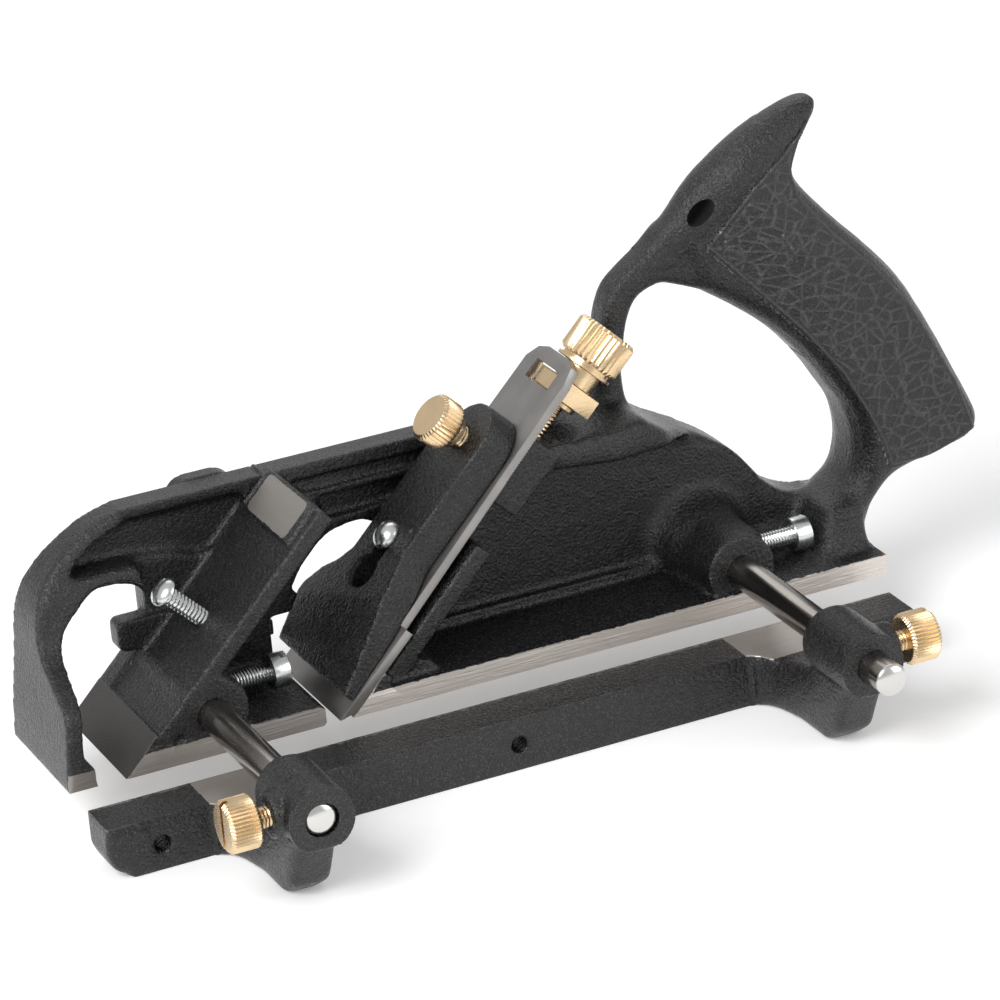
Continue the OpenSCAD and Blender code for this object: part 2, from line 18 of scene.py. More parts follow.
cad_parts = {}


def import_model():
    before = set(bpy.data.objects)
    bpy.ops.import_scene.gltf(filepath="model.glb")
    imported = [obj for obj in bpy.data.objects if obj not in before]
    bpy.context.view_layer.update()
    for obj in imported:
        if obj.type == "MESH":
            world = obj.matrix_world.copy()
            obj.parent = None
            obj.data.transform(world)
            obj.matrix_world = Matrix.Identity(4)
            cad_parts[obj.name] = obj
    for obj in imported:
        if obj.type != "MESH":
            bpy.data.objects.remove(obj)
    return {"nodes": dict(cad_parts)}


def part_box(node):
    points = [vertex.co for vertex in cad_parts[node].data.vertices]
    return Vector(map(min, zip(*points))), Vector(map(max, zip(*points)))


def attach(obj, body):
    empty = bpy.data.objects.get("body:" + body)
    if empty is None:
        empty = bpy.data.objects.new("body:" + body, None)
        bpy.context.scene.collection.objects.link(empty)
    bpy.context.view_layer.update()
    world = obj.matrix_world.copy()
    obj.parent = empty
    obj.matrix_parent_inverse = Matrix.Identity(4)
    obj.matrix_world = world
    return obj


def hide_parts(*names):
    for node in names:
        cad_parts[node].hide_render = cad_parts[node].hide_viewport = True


Pair = Tuple[float, float]
Triple = Tuple[float, float, float]
Box = Tuple[Triple, Triple]
Profile = Sequence[Pair]
RadiusRule = Callable[[np.ndarray, np.ndarray, np.ndarray], np.ndarray]

LOG = logging.getLogger("rebate_plane")
MM = 0.001
HALF_LENGTH = 107.5
HALF_WIDTH = 19.0
TOE = np.array([HALF_LENGTH, 0, 0])
BED_SLOPE = math.radians(45)
MAIN_BED = 72.0
BULLNOSE_BED = 14.6
IRON_OFFSET = -1.5
STUD_DEPTH = 6.0
ROD_HEIGHT = 10.0
ROD_BORE = 4.1
HUB_LINE = -74.0
FENCE_FACE = -27.0
FENCE_FOOT = -14.3
ACROSS: Pair = (-30.0, 30.0)


class Slot(Enum):
    """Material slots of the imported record."""

    ENAMEL = "enamel"
    BLADE_STEEL = "blade_steel"
    ROD_STEEL = "rod_steel"
    ZINC = "zinc"
    BRASS = "brass"


class HeadForm(Enum):
    """Forms of a screw's head."""

    CHEESE = "cheese"
    ROUND = "round"
    KNURLED = "knurled"


@dataclass(frozen=True)
class RodPlace:
    """One fence rod: its station and ends, its set screw's line and turn, and its thumbscrew's lean."""

    end: str
    x: float
    near: float
    far: float
    set_line: float
    set_turn: float
    lean: float


RODS = (
    RodPlace("front", 37.9, near=-83.2, far=16.8, set_line=-4.0, set_turn=20.0, lean=-90.0),
    RodPlace("rear", 176.4, near=-93.0, far=7.0, set_line=-5.0, set_turn=-15.0, lean=90.0),
)
REAR_ROD = RODS[1]


def turned(degrees: float, axis: str) -> Matrix:
    """Turn about X, Y or Z."""
    return Matrix.Rotation(math.radians(degrees), 4, axis)


def station(x: float, y: float = 0.0, z: float = 0.0) -> Matrix:
    """Place in the row frame of a point given from the toe.

    Args:
        x: Station from the toe.
        y: Distance from the middle of the sole.
        z: Height above the sole.

    Returns:
        A translation in metres.
    """
    return Matrix.Translation(Vector((x - HALF_LENGTH, y, z)) * MM)


def on_bed(foot: float, along: float, y: float, off: float) -> Matrix:
    """Place on a cutter bed, with Z along the bed's normal and X up the bed.

    Args:
        foot: Station of the bed's foot.
        along: Distance up the bed.
        y: Distance from the middle of the sole.
        off: Height above the bed.

    Returns:
        A placing matrix in metres.
    """
    turn = Matrix.Rotation(-BED_SLOPE, 4, "Y")
    return station(foot) @ turn @ Matrix.Translation(Vector((along, y, off)) * MM)


def on_stud() -> Matrix:
    """Place of the adjuster's axis, with Z up the bed."""
    return on_bed(MAIN_BED, 0.0, IRON_OFFSET, -STUD_DEPTH) @ turned(90, "Y")


def region(x: Pair = (-50.0, 300.0), y: Pair = (-150.0, 150.0), z: Pair = (-50.0, 200.0)) -> Box:
    """Box given by its spans, which reaches past the plane where a span is left out.

    Args:
        x: Span of stations.
        y: Span across the sole.
        z: Span of heights.

    Returns:
        The box's lowest and highest corners.
    """
    low, high = zip(x, y, z)
    return low, high


def within_box(points: np.ndarray, box: Box) -> np.ndarray:
    """Truth values of the points inside a box."""
    return np.all((points > np.array(box[0])) & (points < np.array(box[1])), axis=1)


def slanted(x: np.ndarray, z: np.ndarray, degrees: float) -> Tuple[np.ndarray, np.ndarray]:
    """Turn places on the plane's side into a slanted pair of axes.

    Args:
        x: Stations.
        z: Heights.
        degrees: Rise of the first axis.

    Returns:
        Distances along the first axis and along the second.
    """
    cosine, sine = math.cos(math.radians(degrees)), math.sin(math.radians(degrees))
    return x * cosine + z * sine, z * cosine - x * sine


def bell(distance: np.ndarray) -> np.ndarray:
    """Smooth bump that is 1 at no distance."""
    return np.exp(-(distance ** 2))


def tinted(colour: Triple, share: float) -> Triple:
    """Colour with each part times a share."""
    return tuple(share * part for part in colour)


class Bench:
    """Operators that act on one piece at a time."""

    nodes: Dict[str, bpy.types.Object] = {}

    @staticmethod
    def clear() -> None:
        """Leave edit mode and deselect everything."""
        if bpy.context.object is not None and bpy.context.object.mode != "OBJECT":
            bpy.ops.object.mode_set(mode="OBJECT")
        bpy.ops.object.select_all(action="DESELECT")

    @staticmethod
    def add(name: str, data: Any) -> bpy.types.Object:
        """Put data into the scene as a new object.

        Args:
            name: Name of the object.
            data: Its mesh, camera or light.

        Returns:
            The new object.
        """
        made = bpy.data.objects.new(name, data)
        bpy.context.scene.collection.objects.link(made)
        return made

    @classmethod
    def pick(cls, piece: bpy.types.Object) -> None:
        """Make one piece the selected and active one.

        Args:
            piece: The piece to pick.
        """
        cls.clear()
        piece.select_set(True)
        bpy.context.view_layer.objects.active = piece

    @classmethod
    def edit(cls, piece: bpy.types.Object) -> None:
        """Open one piece in edit mode with all of it selected.

        Args:
            piece: The piece to open.
        """
        cls.pick(piece)
        bpy.ops.object.mode_set(mode="EDIT")
        bpy.ops.mesh.select_all(action="SELECT")

    @classmethod
    def copy_node(cls, node: str, name: str) -> bpy.types.Object:
        """Copy a CAD node's mesh into a new piece and merge its loose triangles.

        Args:
            node: Name of the CAD node.
            name: Name of the new piece.

        Returns:
            The new piece.
        """
        piece = cls.add(name, cls.nodes[node].data.copy())
        piece.data.name = name
        piece.data.materials.clear()
        cls.edit(piece)
        bpy.ops.mesh.remove_doubles(threshold=2e-6)
        bpy.ops.mesh.customdata_custom_splitnormals_clear()
        bpy.ops.object.mode_set(mode="OBJECT")
        return piece

    @classmethod
    def modify(cls, piece: bpy.types.Object, kind: str, **settings: Any) -> None:
        """Add a modifier, set it and apply it.

        Args:
            piece: The piece to shape.
            kind: Blender's modifier type.
            settings: Values of the modifier's own properties.
        """
        cls.pick(piece)
        bpy.ops.object.modifier_add(type=kind)
        modifier = piece.modifiers[-1]
        for key, value in settings.items():
            setattr(modifier, key, value)
        bpy.ops.object.modifier_apply(modifier=modifier.name)

    @classmethod
    def soften(cls, piece: bpy.types.Object, passes: int, group: str) -> None:
        """Smooth a vertex group of a piece by a number of passes."""
        cls.modify(piece, "SMOOTH", factor=0.5, iterations=passes, vertex_group=group)

    @staticmethod
    def read(items: Any, name: str) -> np.ndarray:
        """Read a vector property of a mesh's vertices or faces.

        Args:
            items: The vertices or the faces.
            name: Name of the property.

        Returns:
            One row of three numbers for each item.
        """
        flat = np.zeros(len(items) * 3, np.float32)
        items.foreach_get(name, flat)
        return flat.reshape(-1, 3)

    @classmethod
    def local(cls, piece: bpy.types.Object) -> np.ndarray:
        """Vertices of a piece in millimetres about the origin."""
        return cls.read(piece.data.vertices, "co").astype(float) / MM

    @staticmethod
    def set_local(piece: bpy.types.Object, points: np.ndarray) -> None:
        """Write vertices back from millimetres about the origin."""
        piece.data.vertices.foreach_set("co", (points * MM).astype(np.float32).ravel())
        piece.data.update()

    @classmethod
    def points(cls, piece: bpy.types.Object) -> np.ndarray:
        """Vertices of a piece in millimetres, with X from the toe."""
        return cls.local(piece) + TOE

    @classmethod
    def set_points(cls, piece: bpy.types.Object, points: np.ndarray) -> None:
        """Write vertices back from millimetres, with X from the toe."""
        cls.set_local(piece, points - TOE)

    @staticmethod
    def group(piece: bpy.types.Object, name: str, chosen: np.ndarray) -> str:
        """Put chosen vertices into a vertex group.

        Args:
            piece: The piece.
            name: Name of the group.
            chosen: One truth value for each vertex.

        Returns:
            The name of the group.
        """
        made = piece.vertex_groups.get(name) or piece.vertex_groups.new(name=name)
        made.add([int(i) for i in np.flatnonzero(chosen)], 1.0, "REPLACE")
        return name

    @classmethod
    def place(cls, piece: bpy.types.Object, matrix: Matrix) -> bpy.types.Object:
        """Turn and move a piece and write its place into its mesh.

        Args:
            piece: The piece, made about the origin.
            matrix: Its place in metres.

        Returns:
            The piece.
        """
        cls.pick(piece)
        piece.matrix_world = matrix
        bpy.ops.object.transform_apply(location=True, rotation=True, scale=True)
        return piece

    @classmethod
    def smooth(cls, piece: bpy.types.Object, degrees: float) -> None:
        """Shade a piece smooth below an angle."""
        cls.pick(piece)
        bpy.ops.object.shade_smooth_by_angle(angle=math.radians(degrees))

    @classmethod
    def join(cls, name: str, pieces: Sequence[bpy.types.Object]) -> bpy.types.Object:
        """Join pieces into the first one and name it.

        Args:
            name: Name of the joined piece.
            pieces: The pieces to join.

        Returns:
            The joined piece.
        """
        cls.clear()
        for piece in pieces:
            piece.select_set(True)
        bpy.context.view_layer.objects.active = pieces[0]
        bpy.ops.object.join()
        pieces[0].name = name
        pieces[0].data.name = name
        return pieces[0]

    @classmethod
    def cut(cls, piece: bpy.types.Object, cutter: bpy.types.Object) -> None:
        """Cut one piece by another and delete the cutter."""
        cls.modify(piece, "BOOLEAN", operation="DIFFERENCE", solver="EXACT", object=cutter)
        bpy.data.objects.remove(cutter)

    @classmethod
    def block(cls, low: Triple, high: Triple) -> bpy.types.Object:
        """Make a box between two corners.

        Args:
            low: Lowest corner in millimetres about the origin.
            high: Highest corner.

        Returns:
            The box.
        """
        cls.clear()
        bpy.ops.mesh.primitive_cube_add(size=1.0)
        piece = bpy.context.object
        middle = (Vector(low) + Vector(high)) / 2 * MM
        size = (Vector(high) - Vector(low)) * MM
        piece.data.transform(Matrix.Translation(middle) @ Matrix.Diagonal((*size, 1.0)))
        return piece

    @classmethod
    def spin(cls, profile: Profile, steps: int) -> bpy.types.Object:
        """Spin a profile of radius and height about Z into a closed solid.

        Args:
            profile: Points of radius and height in millimetres, from axis to axis.
            steps: Number of steps round.

        Returns:
            The spun piece.
        """
        mesh = bpy.data.meshes.new("turned")
        line = [(r * MM, 0.0, z * MM) for r, z in profile]
        mesh.from_pydata(line, [(i, i + 1) for i in range(len(line) - 1)], [])
        piece = cls.add("turned", mesh)
        cls.edit(piece)
        bpy.ops.mesh.spin(steps=steps, angle=2 * math.pi, center=(0, 0, 0), axis=(0, 0, 1))
        bpy.ops.mesh.select_all(action="SELECT")
        bpy.ops.mesh.remove_doubles(threshold=1e-6)
        bpy.ops.mesh.normals_make_consistent(inside=False)
        bpy.ops.object.mode_set(mode="OBJECT")
        return piece

    @classmethod
    def round_about(cls, piece: bpy.types.Object, rule: RadiusRule) -> None:
        """Change the radius of each vertex about Z.

        Args:
            piece: The spun piece.
            rule: Gives the new radii from radii, angles and heights in millimetres.
        """
        points = cls.local(piece)
        radius = np.hypot(points[:, 0], points[:, 1])
        angle = np.arctan2(points[:, 1], points[:, 0])
        new = rule(radius, angle, points[:, 2])
        points[:, 0] = new * np.cos(angle)
        points[:, 1] = new * np.sin(angle)
        cls.set_local(piece, points)


class Net:
    """A node tree with short ways to add and join nodes."""

    def __init__(self, tree: bpy.types.NodeTree) -> None:
        """Start on an empty tree."""
        self.tree = tree
        tree.nodes.clear()

    def add(self, kind: str, inputs: Optional[Dict[Any, Any]] = None, **settings: Any) -> bpy.types.Node:
        """Add a node, set its properties and fill or join its inputs.

        Args:
            kind: Blender's node type.
            inputs: Values or output sockets by input name or index.
            settings: Properties of the node.

        Returns:
            The new node.
        """
        node = self.tree.nodes.new(kind)
        for key, value in settings.items():
            setattr(node, key, value)
        for key, value in (inputs or {}).items():
            if isinstance(value, bpy.types.NodeSocket):
                self.tree.links.new(value, node.inputs[key])
            else:
                node.inputs[key].default_value = value
        return node

    def group(self, tree: bpy.types.NodeTree, inputs: Dict[str, Any]) -> Any:
        """Outputs of a node group that is placed with its own values."""
        return self.add("ShaderNodeGroup", inputs, node_tree=tree).outputs

    def math(self, operation: str, *values: Any, clamp: bool = False) -> bpy.types.NodeSocket:
        """Number from a Math node."""
        node = self.add("ShaderNodeMath", dict(enumerate(values)), operation=operation, use_clamp=clamp)
        return node.outputs[0]

    def vector(self, operation: str, *values: Any) -> bpy.types.NodeSocket:
        """Vector from a Vector Math node."""
        node = self.add("ShaderNodeVectorMath", dict(enumerate(values)), operation=operation)
        return node.outputs[0]

    def lean(self, where: bpy.types.NodeSocket, angle: bpy.types.NodeSocket) -> bpy.types.NodeSocket:
        """Place turned about Y."""
        node = self.add("ShaderNodeVectorRotate", {"Vector": where, "Angle": angle}, rotation_type="Y_AXIS")
        return node.outputs[0]

    def mix(self, share: Any, first: Any, second: Any) -> bpy.types.NodeSocket:
        """Mix two colours.

        Args:
            share: Share of the second colour.
            first: A colour or a socket.
            second: A colour or a socket.

        Returns:
            The colour's socket.
        """
        node = self.add("ShaderNodeMix", {"Factor": share}, data_type="RGBA")
        for key, value in ((6, first), (7, second)):
            if isinstance(value, bpy.types.NodeSocket):
                self.tree.links.new(value, node.inputs[key])
            else:
                node.inputs[key].default_value = (*value, 1.0)
        return node.outputs[2]

    def blend(self, share: Any, first: Any, second: Any) -> bpy.types.NodeSocket:
        """Number between two numbers or sockets."""
        return self.add("ShaderNodeMix", {0: share, 2: first, 3: second}).outputs[0]

    def between(self, share: Any, first: float, second: float) -> bpy.types.NodeSocket:
        """Number between two fixed numbers."""
        node = self.add("ShaderNodeMapRange", {"Value": share, "To Min": first, "To Max": second})
        return node.outputs[0]

    def step(self, value: Any, low: float, high: float) -> bpy.types.NodeSocket:
        """Smooth step of a number from 0 at low to 1 at high."""
        limits = {"Value": value, "From Min": low, "From Max": high}
        return self.add("ShaderNodeMapRange", limits, interpolation_type="SMOOTHSTEP").outputs[0]

    def place(self) -> bpy.types.NodeSocket:
        """Object coordinates."""
        return self.add("ShaderNodeTexCoord").outputs["Object"]

    def noise(self, where: Any, scale: float, detail: float = 2.0,
              rough: float = 0.5) -> bpy.types.NodeSocket:
        """Noise value on a place."""
        values = {"Vector": where, "Scale": scale, "Detail": detail, "Roughness": rough}
        return self.add("ShaderNodeTexNoise", values).outputs[0]

    def attribute(self, name: str) -> bpy.types.NodeSocket:
        """Number that the piece's mesh carries."""
        return self.add("ShaderNodeAttribute", attribute_name=name).outputs["Fac"]

    def bump(self, height: bpy.types.NodeSocket, strength: float, relief: float) -> bpy.types.NodeSocket:
        """Normal from a height of so many millimetres."""
        values = {"Height": height, "Strength": strength, "Distance": relief * MM}
        return self.add("ShaderNodeBump", values).outputs[0]

    def surface(self, **values: Any) -> None:
        """End a material in a Principled shader whose sockets take the values, with _ for a space."""
        named = {key.replace("_", " "): value for key, value in values.items()}
        self.output(self.add("ShaderNodeBsdfPrincipled", named))

    def output(self, shader: bpy.types.Node) -> None:
        """End a material in a shader."""
        self.add("ShaderNodeOutputMaterial", {"Surface": shader.outputs[0]})


def new_material(name: str) -> Tuple[bpy.types.Material, Net]:
    """Start a material.

    Args:
        name: Name of the material.

    Returns:
        The material and its empty tree.
    """
    made = bpy.data.materials.new(name)
    made.use_nodes = True
    return made, Net(made.node_tree)


class Groups:
    """Shader node groups that several finishes use."""

    made: Dict[str, bpy.types.NodeTree] = {}

    @classmethod
    def get(cls, name: str, inputs: Dict[str, Any], outputs: Sequence[str],
            fill: Callable[[Net, Any], Sequence[bpy.types.NodeSocket]]) -> bpy.types.NodeTree:
        """Make a group once.

        Args:
            name: Name of the group.
            inputs: Value of each input by its name: a number, or three for a vector.
            outputs: Names of number outputs.
            fill: Adds the nodes behind the inputs' sockets and returns the sockets for the outputs.

        Returns:
            The group's tree.
        """
        if name in cls.made:
            return cls.made[name]
        tree = bpy.data.node_groups.new(name, "ShaderNodeTree")
        net = Net(tree)
        for label, value in inputs.items():
            kind = "NodeSocketVector" if isinstance(value, tuple) else "NodeSocketFloat"
            socket = tree.interface.new_socket(label, in_out="INPUT", socket_type=kind)
            socket.default_value = value
        for label in outputs:
            tree.interface.new_socket(label, in_out="OUTPUT", socket_type="NodeSocketFloat")
        entry = net.add("NodeGroupInput")
        leave = net.add("NodeGroupOutput")
        for index, socket in enumerate(fill(net, entry.outputs)):
            tree.links.new(socket, leave.inputs[index])
        cls.made[name] = tree
        return tree

    @classmethod
    def cast_skin(cls) -> bpy.types.NodeTree:
        """Fine pebbled skin of a sand casting under enamel.

        Returns:
            The group's tree.
        """

        def fill(net: Net, entry: Any) -> Sequence[bpy.types.NodeSocket]:
            """Add three sizes of grain.

            Args:
                net: The group's tree.
                entry: Sockets of the inputs.

            Returns:
                Sockets of the outputs.
            """
            where = net.place()
            coarse = net.noise(where, scale=1300.0, rough=0.55)
            fine = net.noise(where, scale=2900.0, rough=0.6)
            lumps = net.noise(where, scale=300.0, detail=1.0)
            total = net.math("ADD", coarse, net.math("MULTIPLY", fine, 0.4))
            total = net.math("ADD", total, net.math("MULTIPLY", lumps, 0.5))
            return [net.math("MULTIPLY", total, entry["Depth"]), coarse, fine]

        return cls.get("Cast skin", {"Depth": 1.0}, ["Height", "Coarse", "Fine"], fill)

    @classmethod
    def ground_lines(cls) -> bpy.types.NodeTree:
        """Fine parallel lines of a ground or drawn surface.

        Returns:
            The group's tree.
        """

        def fill(net: Net, entry: Any) -> Sequence[bpy.types.NodeSocket]:
            """Add stretched noise and a slow change of tone.

            Args:
                net: The group's tree.
                entry: Sockets of the inputs.

            Returns:
                Sockets of the outputs.
            """
            stretched = net.vector("MULTIPLY", net.lean(net.place(), entry["Turn"]), entry["Stretch"])
            lines = net.noise(stretched, scale=1.0, detail=3.0, rough=0.6)
            tone = net.noise(net.place(), scale=90.0, detail=3.0, rough=0.55)
            return [lines, tone]

        inputs = {"Stretch": (60.0, 1800.0, 1800.0), "Turn": 0.0}
        return cls.get("Ground lines", inputs, ["Lines", "Tone"], fill)

    @classmethod
    def bare_patch(cls) -> bpy.types.NodeTree:
        """Mask of a box where the enamel is ground away, with a slightly ragged edge.

        Returns:
            The group's tree.
        """
        edge = 0.08 * MM
        ragged = 0.7 * MM

        def fill(net: Net, entry: Any) -> Sequence[bpy.types.NodeSocket]:
            """Measure the distance to a turned box with round corners.

            Args:
                net: The group's tree.
                entry: Sockets of the inputs.

            Returns:
                Sockets of the outputs.
            """
            where = net.lean(net.vector("SUBTRACT", net.place(), entry["Centre"]), entry["Turn"])
            gap = net.vector("SUBTRACT", net.vector("ABSOLUTE", where), entry["Half size"])
            parts = net.add("ShaderNodeSeparateXYZ", {0: gap}).outputs
            along = net.math("ADD", parts[0], entry["Corner"])
            side = net.math("ADD", parts[1], entry["Corner"])
            inner = net.math("MINIMUM", net.math("MAXIMUM", along, side), 0.0)
            along = net.math("MAXIMUM", along, 0.0)
            side = net.math("MAXIMUM", side, 0.0)
            outer = net.math("ADD", net.math("MULTIPLY", along, along), net.math("MULTIPLY", side, side))
            flat = net.math("SUBTRACT", net.math("ADD", net.math("SQRT", outer), inner), entry["Corner"])
            far = net.math("MAXIMUM", flat, parts[2])
            speck = net.math("SUBTRACT", net.noise(net.place(), scale=600.0), 0.5)
            far = net.math("ADD", far, net.math("MULTIPLY", speck, ragged))
            return [net.math("SUBTRACT", 1.0, net.step(far, -edge, edge))]

        inputs = {"Centre": (0.0, 0.0, 0.0), "Half size": (0.01, 0.01, 0.01), "Turn": 0.0, "Corner": 0.0}
        return cls.get("Bare patch", inputs, ["Mask"], fill)

    @classmethod
    def worn_and_highlit_edges(cls) -> bpy.types.NodeTree:
        """Mask of edges where handling has thinned the finish, which also paints a highlight along them.

        Returns:
            The group's tree.
        """

        def fill(net: Net, entry: Any) -> Sequence[bpy.types.NodeSocket]:
            """Add pointed places, away from the flat sides and broken up by noise.

            Args:
                net: The group's tree.
                entry: Sockets of the inputs.

            Returns:
                Sockets of the outputs.
            """
            surface = net.add("ShaderNodeNewGeometry").outputs
            facing = net.add("ShaderNodeSeparateXYZ", {0: surface["True Normal"]}).outputs[1]
            side = net.step(net.math("ABSOLUTE", facing), 0.985, 0.998)
            edge = net.math("SUBTRACT", net.step(surface["Pointiness"], 0.53, 0.6), side, clamp=True)
            broken = net.step(net.noise(net.place(), scale=260.0, detail=3.0, rough=0.6), 0.42, 0.66)
            return [net.math("MULTIPLY", net.math("MULTIPLY", edge, broken), entry["Amount"])]

        return cls.get("Rubbed edges", {"Amount": 0.5}, ["Mask"], fill)


@dataclass(frozen=True)
class Patch:
    """A box on a casting where bare ground iron shows, given in stations and millimetres."""

    low: Triple
    high: Triple
    bed: Optional[float] = None
    # Share of the bare iron's colour; on the near side strip it holds a painted reflection.
    tone: float = 1.0
    corner: float = 0.0

    def socket(self, net: Net) -> bpy.types.NodeSocket:
        """Mask of the patch.

        Args:
            net: The material's tree.

        Returns:
            The mask's socket.
        """
        middle = [(a + b) / 2 for a, b in zip(self.low, self.high)]
        size = [(b - a) / 2 * MM for a, b in zip(self.low, self.high)]
        if self.bed is None:
            centre, turn = station(*middle).translation, 0.0
        else:
            centre, turn = on_bed(self.bed, *middle).translation, BED_SLOPE
        values = {"Centre": centre, "Half size": size, "Turn": turn, "Corner": self.corner * MM}
        return net.group(Groups.bare_patch(), values)["Mask"]


@dataclass(frozen=True)
class Enamel:
    """Black enamel over cast iron, bare where it is ground.

    The tints are shares of the enamel's own colour, and the iron tints shares of the bare iron's.
    """

    name: str
    patches: Tuple[Patch, ...] = ()
    colour: Triple = (0.0032, 0.0032, 0.0035)
    bare: Triple = (0.50, 0.465, 0.435)
    skin: float = 1.0
    rough: float = 0.25
    rough_reach: Pair = (-0.1, 0.14)
    crackle: bool = False
    bore: bool = False
    edge_wear_and_highlight: float = 0.35
    grain_tint: float = 1.7
    # Painted glints: share of the enamel colour in the bright specks, and the span of the fine grain where
    # they show.
    painted_glint_tint: float = 17.0
    painted_glint_edge: Pair = (0.54, 0.68)
    # Painted highlight: share of the enamel colour on the crackle's veins and rim.
    vein_glint_tint: float = 19.0
    # Painted shade: share of the enamel colour on the hanging hole's wall.
    bore_shade_tint: float = 0.3
    iron_tints: Pair = (0.72, 1.16)
    worn_tint: float = 0.8
    worn_share: float = 0.35
    iron_rough: Pair = (0.3, 0.48)
    iron_lines: float = 0.35
    iron_metal: float = 0.8
    stretch: Triple = (70.0, 2400.0, 2400.0)
    relief: float = 0.42

    def iron(self, net: Net, lines: Any) -> bpy.types.NodeSocket:
        """Colour of the bare ground iron.

        Args:
            net: The material's tree.
            lines: Outputs of the ground lines.

        Returns:
            The colour's socket.
        """
        dark, light = self.iron_tints
        ground = net.mix(lines["Lines"], tinted(self.bare, dark), tinted(self.bare, light))
        worn = net.mix(lines["Tone"], tinted(self.bare, self.worn_tint), self.bare)
        return net.mix(self.worn_share, ground, worn)

    def coat(self, net: Net, skin: Any) -> bpy.types.NodeSocket:
        """Colour of the enamel.

        Args:
            net: The material's tree.
            skin: Outputs of the cast skin.

        Returns:
            The colour's socket.
        """
        coat = net.mix(skin["Coarse"], self.colour, tinted(self.colour, self.grain_tint))
        # Bright specks at the fine grain's peaks are painted glints of the pebbled enamel.
        coat = net.mix(net.step(skin["Fine"], *self.painted_glint_edge), coat, tinted(self.colour, self.painted_glint_tint))
        if self.crackle:
            # The crackle mask lightens the veins and rim: painted highlight on their raised edges, and partly
            # a lighter vein tone.
            coat = net.mix(net.attribute("crackle"), coat, tinted(self.colour, self.vein_glint_tint))
        return coat

    def material(self) -> bpy.types.Material:
        """Build the material.

        Returns:
            The material.
        """
        made, net = new_material(self.name)
        skin = net.group(Groups.cast_skin(), {"Depth": self.skin})
        lines = net.group(Groups.ground_lines(), {"Stretch": self.stretch})
        # Bare iron on pointed edges: wear, and a painted highlight along the edges.
        mask = net.group(Groups.worn_and_highlit_edges(), {"Amount": self.edge_wear_and_highlight})["Mask"]
        iron = self.iron(net, lines)
        ground: Any = None
        for patch in self.patches:
            socket = patch.socket(net)
            ground = socket if ground is None else net.math("MAXIMUM", ground, socket)
            if patch.tone != 1.0:
                iron = net.mix(socket, iron, tinted(self.bare, patch.tone))
        height = skin["Height"]
        if ground is not None:
            mask = net.math("MAXIMUM", mask, ground)
            scored = net.math("MULTIPLY", net.math("MULTIPLY", lines["Lines"], self.iron_lines), ground)
            height = net.math("ADD", net.math("MULTIPLY", height, net.math("SUBTRACT", 1.0, ground)), scored)
        colour = net.mix(mask, self.coat(net, skin), iron)
        coat_rough = net.between(skin["Coarse"], *(self.rough + reach for reach in self.rough_reach))
        rough = net.blend(mask, coat_rough, net.between(lines["Lines"], *self.iron_rough))
        if self.bore:
            hole = net.attribute("bore")
            # The hanging hole's wall is darkened as painted shade, and made matt.
            colour = net.mix(hole, colour, tinted(self.colour, self.bore_shade_tint))
            rough = net.blend(hole, rough, 1.0)
        metal = net.math("MULTIPLY", mask, self.iron_metal)
        net.surface(Base_Color=colour, Metallic=metal, Roughness=rough,
                    Normal=net.bump(height, 1.0, self.relief))
        return made


@dataclass(frozen=True)
class Metal:
    """A bare metal with fine lines and a slow change of tone.

    The tints are shares of its own colour. A bright end is a height along Y below which it is polished.
    """

    name: str
    slot: Slot
    colour: Triple
    rough: Pair = (0.25, 0.42)
    stretch: Triple = (60.0, 2000.0, 2000.0)
    turn: float = 0.0
    bump: float = 0.12
    tarnish_tint: float = 0.82
    tarnish_edge: Pair = (0.32, 0.7)
    line_tint: float = 0.7
    line_share: float = 0.3
    grain: float = 0.0
    relief: float = 0.4
    bright_end: Optional[float] = None
    bright_edge: float = 0.4
    bright_colour: Triple = (0.66, 0.65, 0.63)

    def material(self) -> bpy.types.Material:
        """Build the material.

        Returns:
            The material.
        """
        made, net = new_material(self.name)
        lines = net.group(Groups.ground_lines(), {"Stretch": self.stretch, "Turn": self.turn})
        tone = net.step(lines["Tone"], *self.tarnish_edge)
        colour = net.mix(tone, tinted(self.colour, self.tarnish_tint), self.colour)
        scored = net.math("MULTIPLY", lines["Lines"], self.line_share)
        colour = net.mix(scored, colour, tinted(self.colour, self.line_tint))
        if self.bright_end is not None:
            along = net.add("ShaderNodeSeparateXYZ", {0: net.place()}).outputs[1]
            past = net.step(along, self.bright_end * MM, (self.bright_end + self.bright_edge) * MM)
            colour = net.mix(net.math("SUBTRACT", 1.0, past), colour, self.bright_colour)
        height = lines["Lines"]
        if self.grain:
            speck = net.noise(net.place(), scale=1400.0, rough=0.6)
            height = net.math("ADD", height, net.math("MULTIPLY", speck, self.grain))
        rough = net.between(lines["Lines"], *self.rough)
        net.surface(Base_Color=colour, Metallic=1.0, Roughness=rough,
                    Normal=net.bump(height, self.bump, self.relief))
        return made


def fit(piece: bpy.types.Object, body: str, slot: Slot, material: bpy.types.Material, *nodes: str) -> None:
    """Dress a finished piece, let it ride on its body and stand for its nodes.

    Args:
        piece: The finished piece.
        body: The body that carries it.
        slot: Its material slot in the record; not used.
        material: Its finish.
        nodes: The CAD nodes that it stands for.
    """
    piece.data.materials.clear()
    piece.data.materials.append(material)
    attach(piece, body)
    if nodes:
        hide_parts(*nodes)
    LOG.info("%s: %d faces on %s", piece.name, len(piece.data.polygons), body)


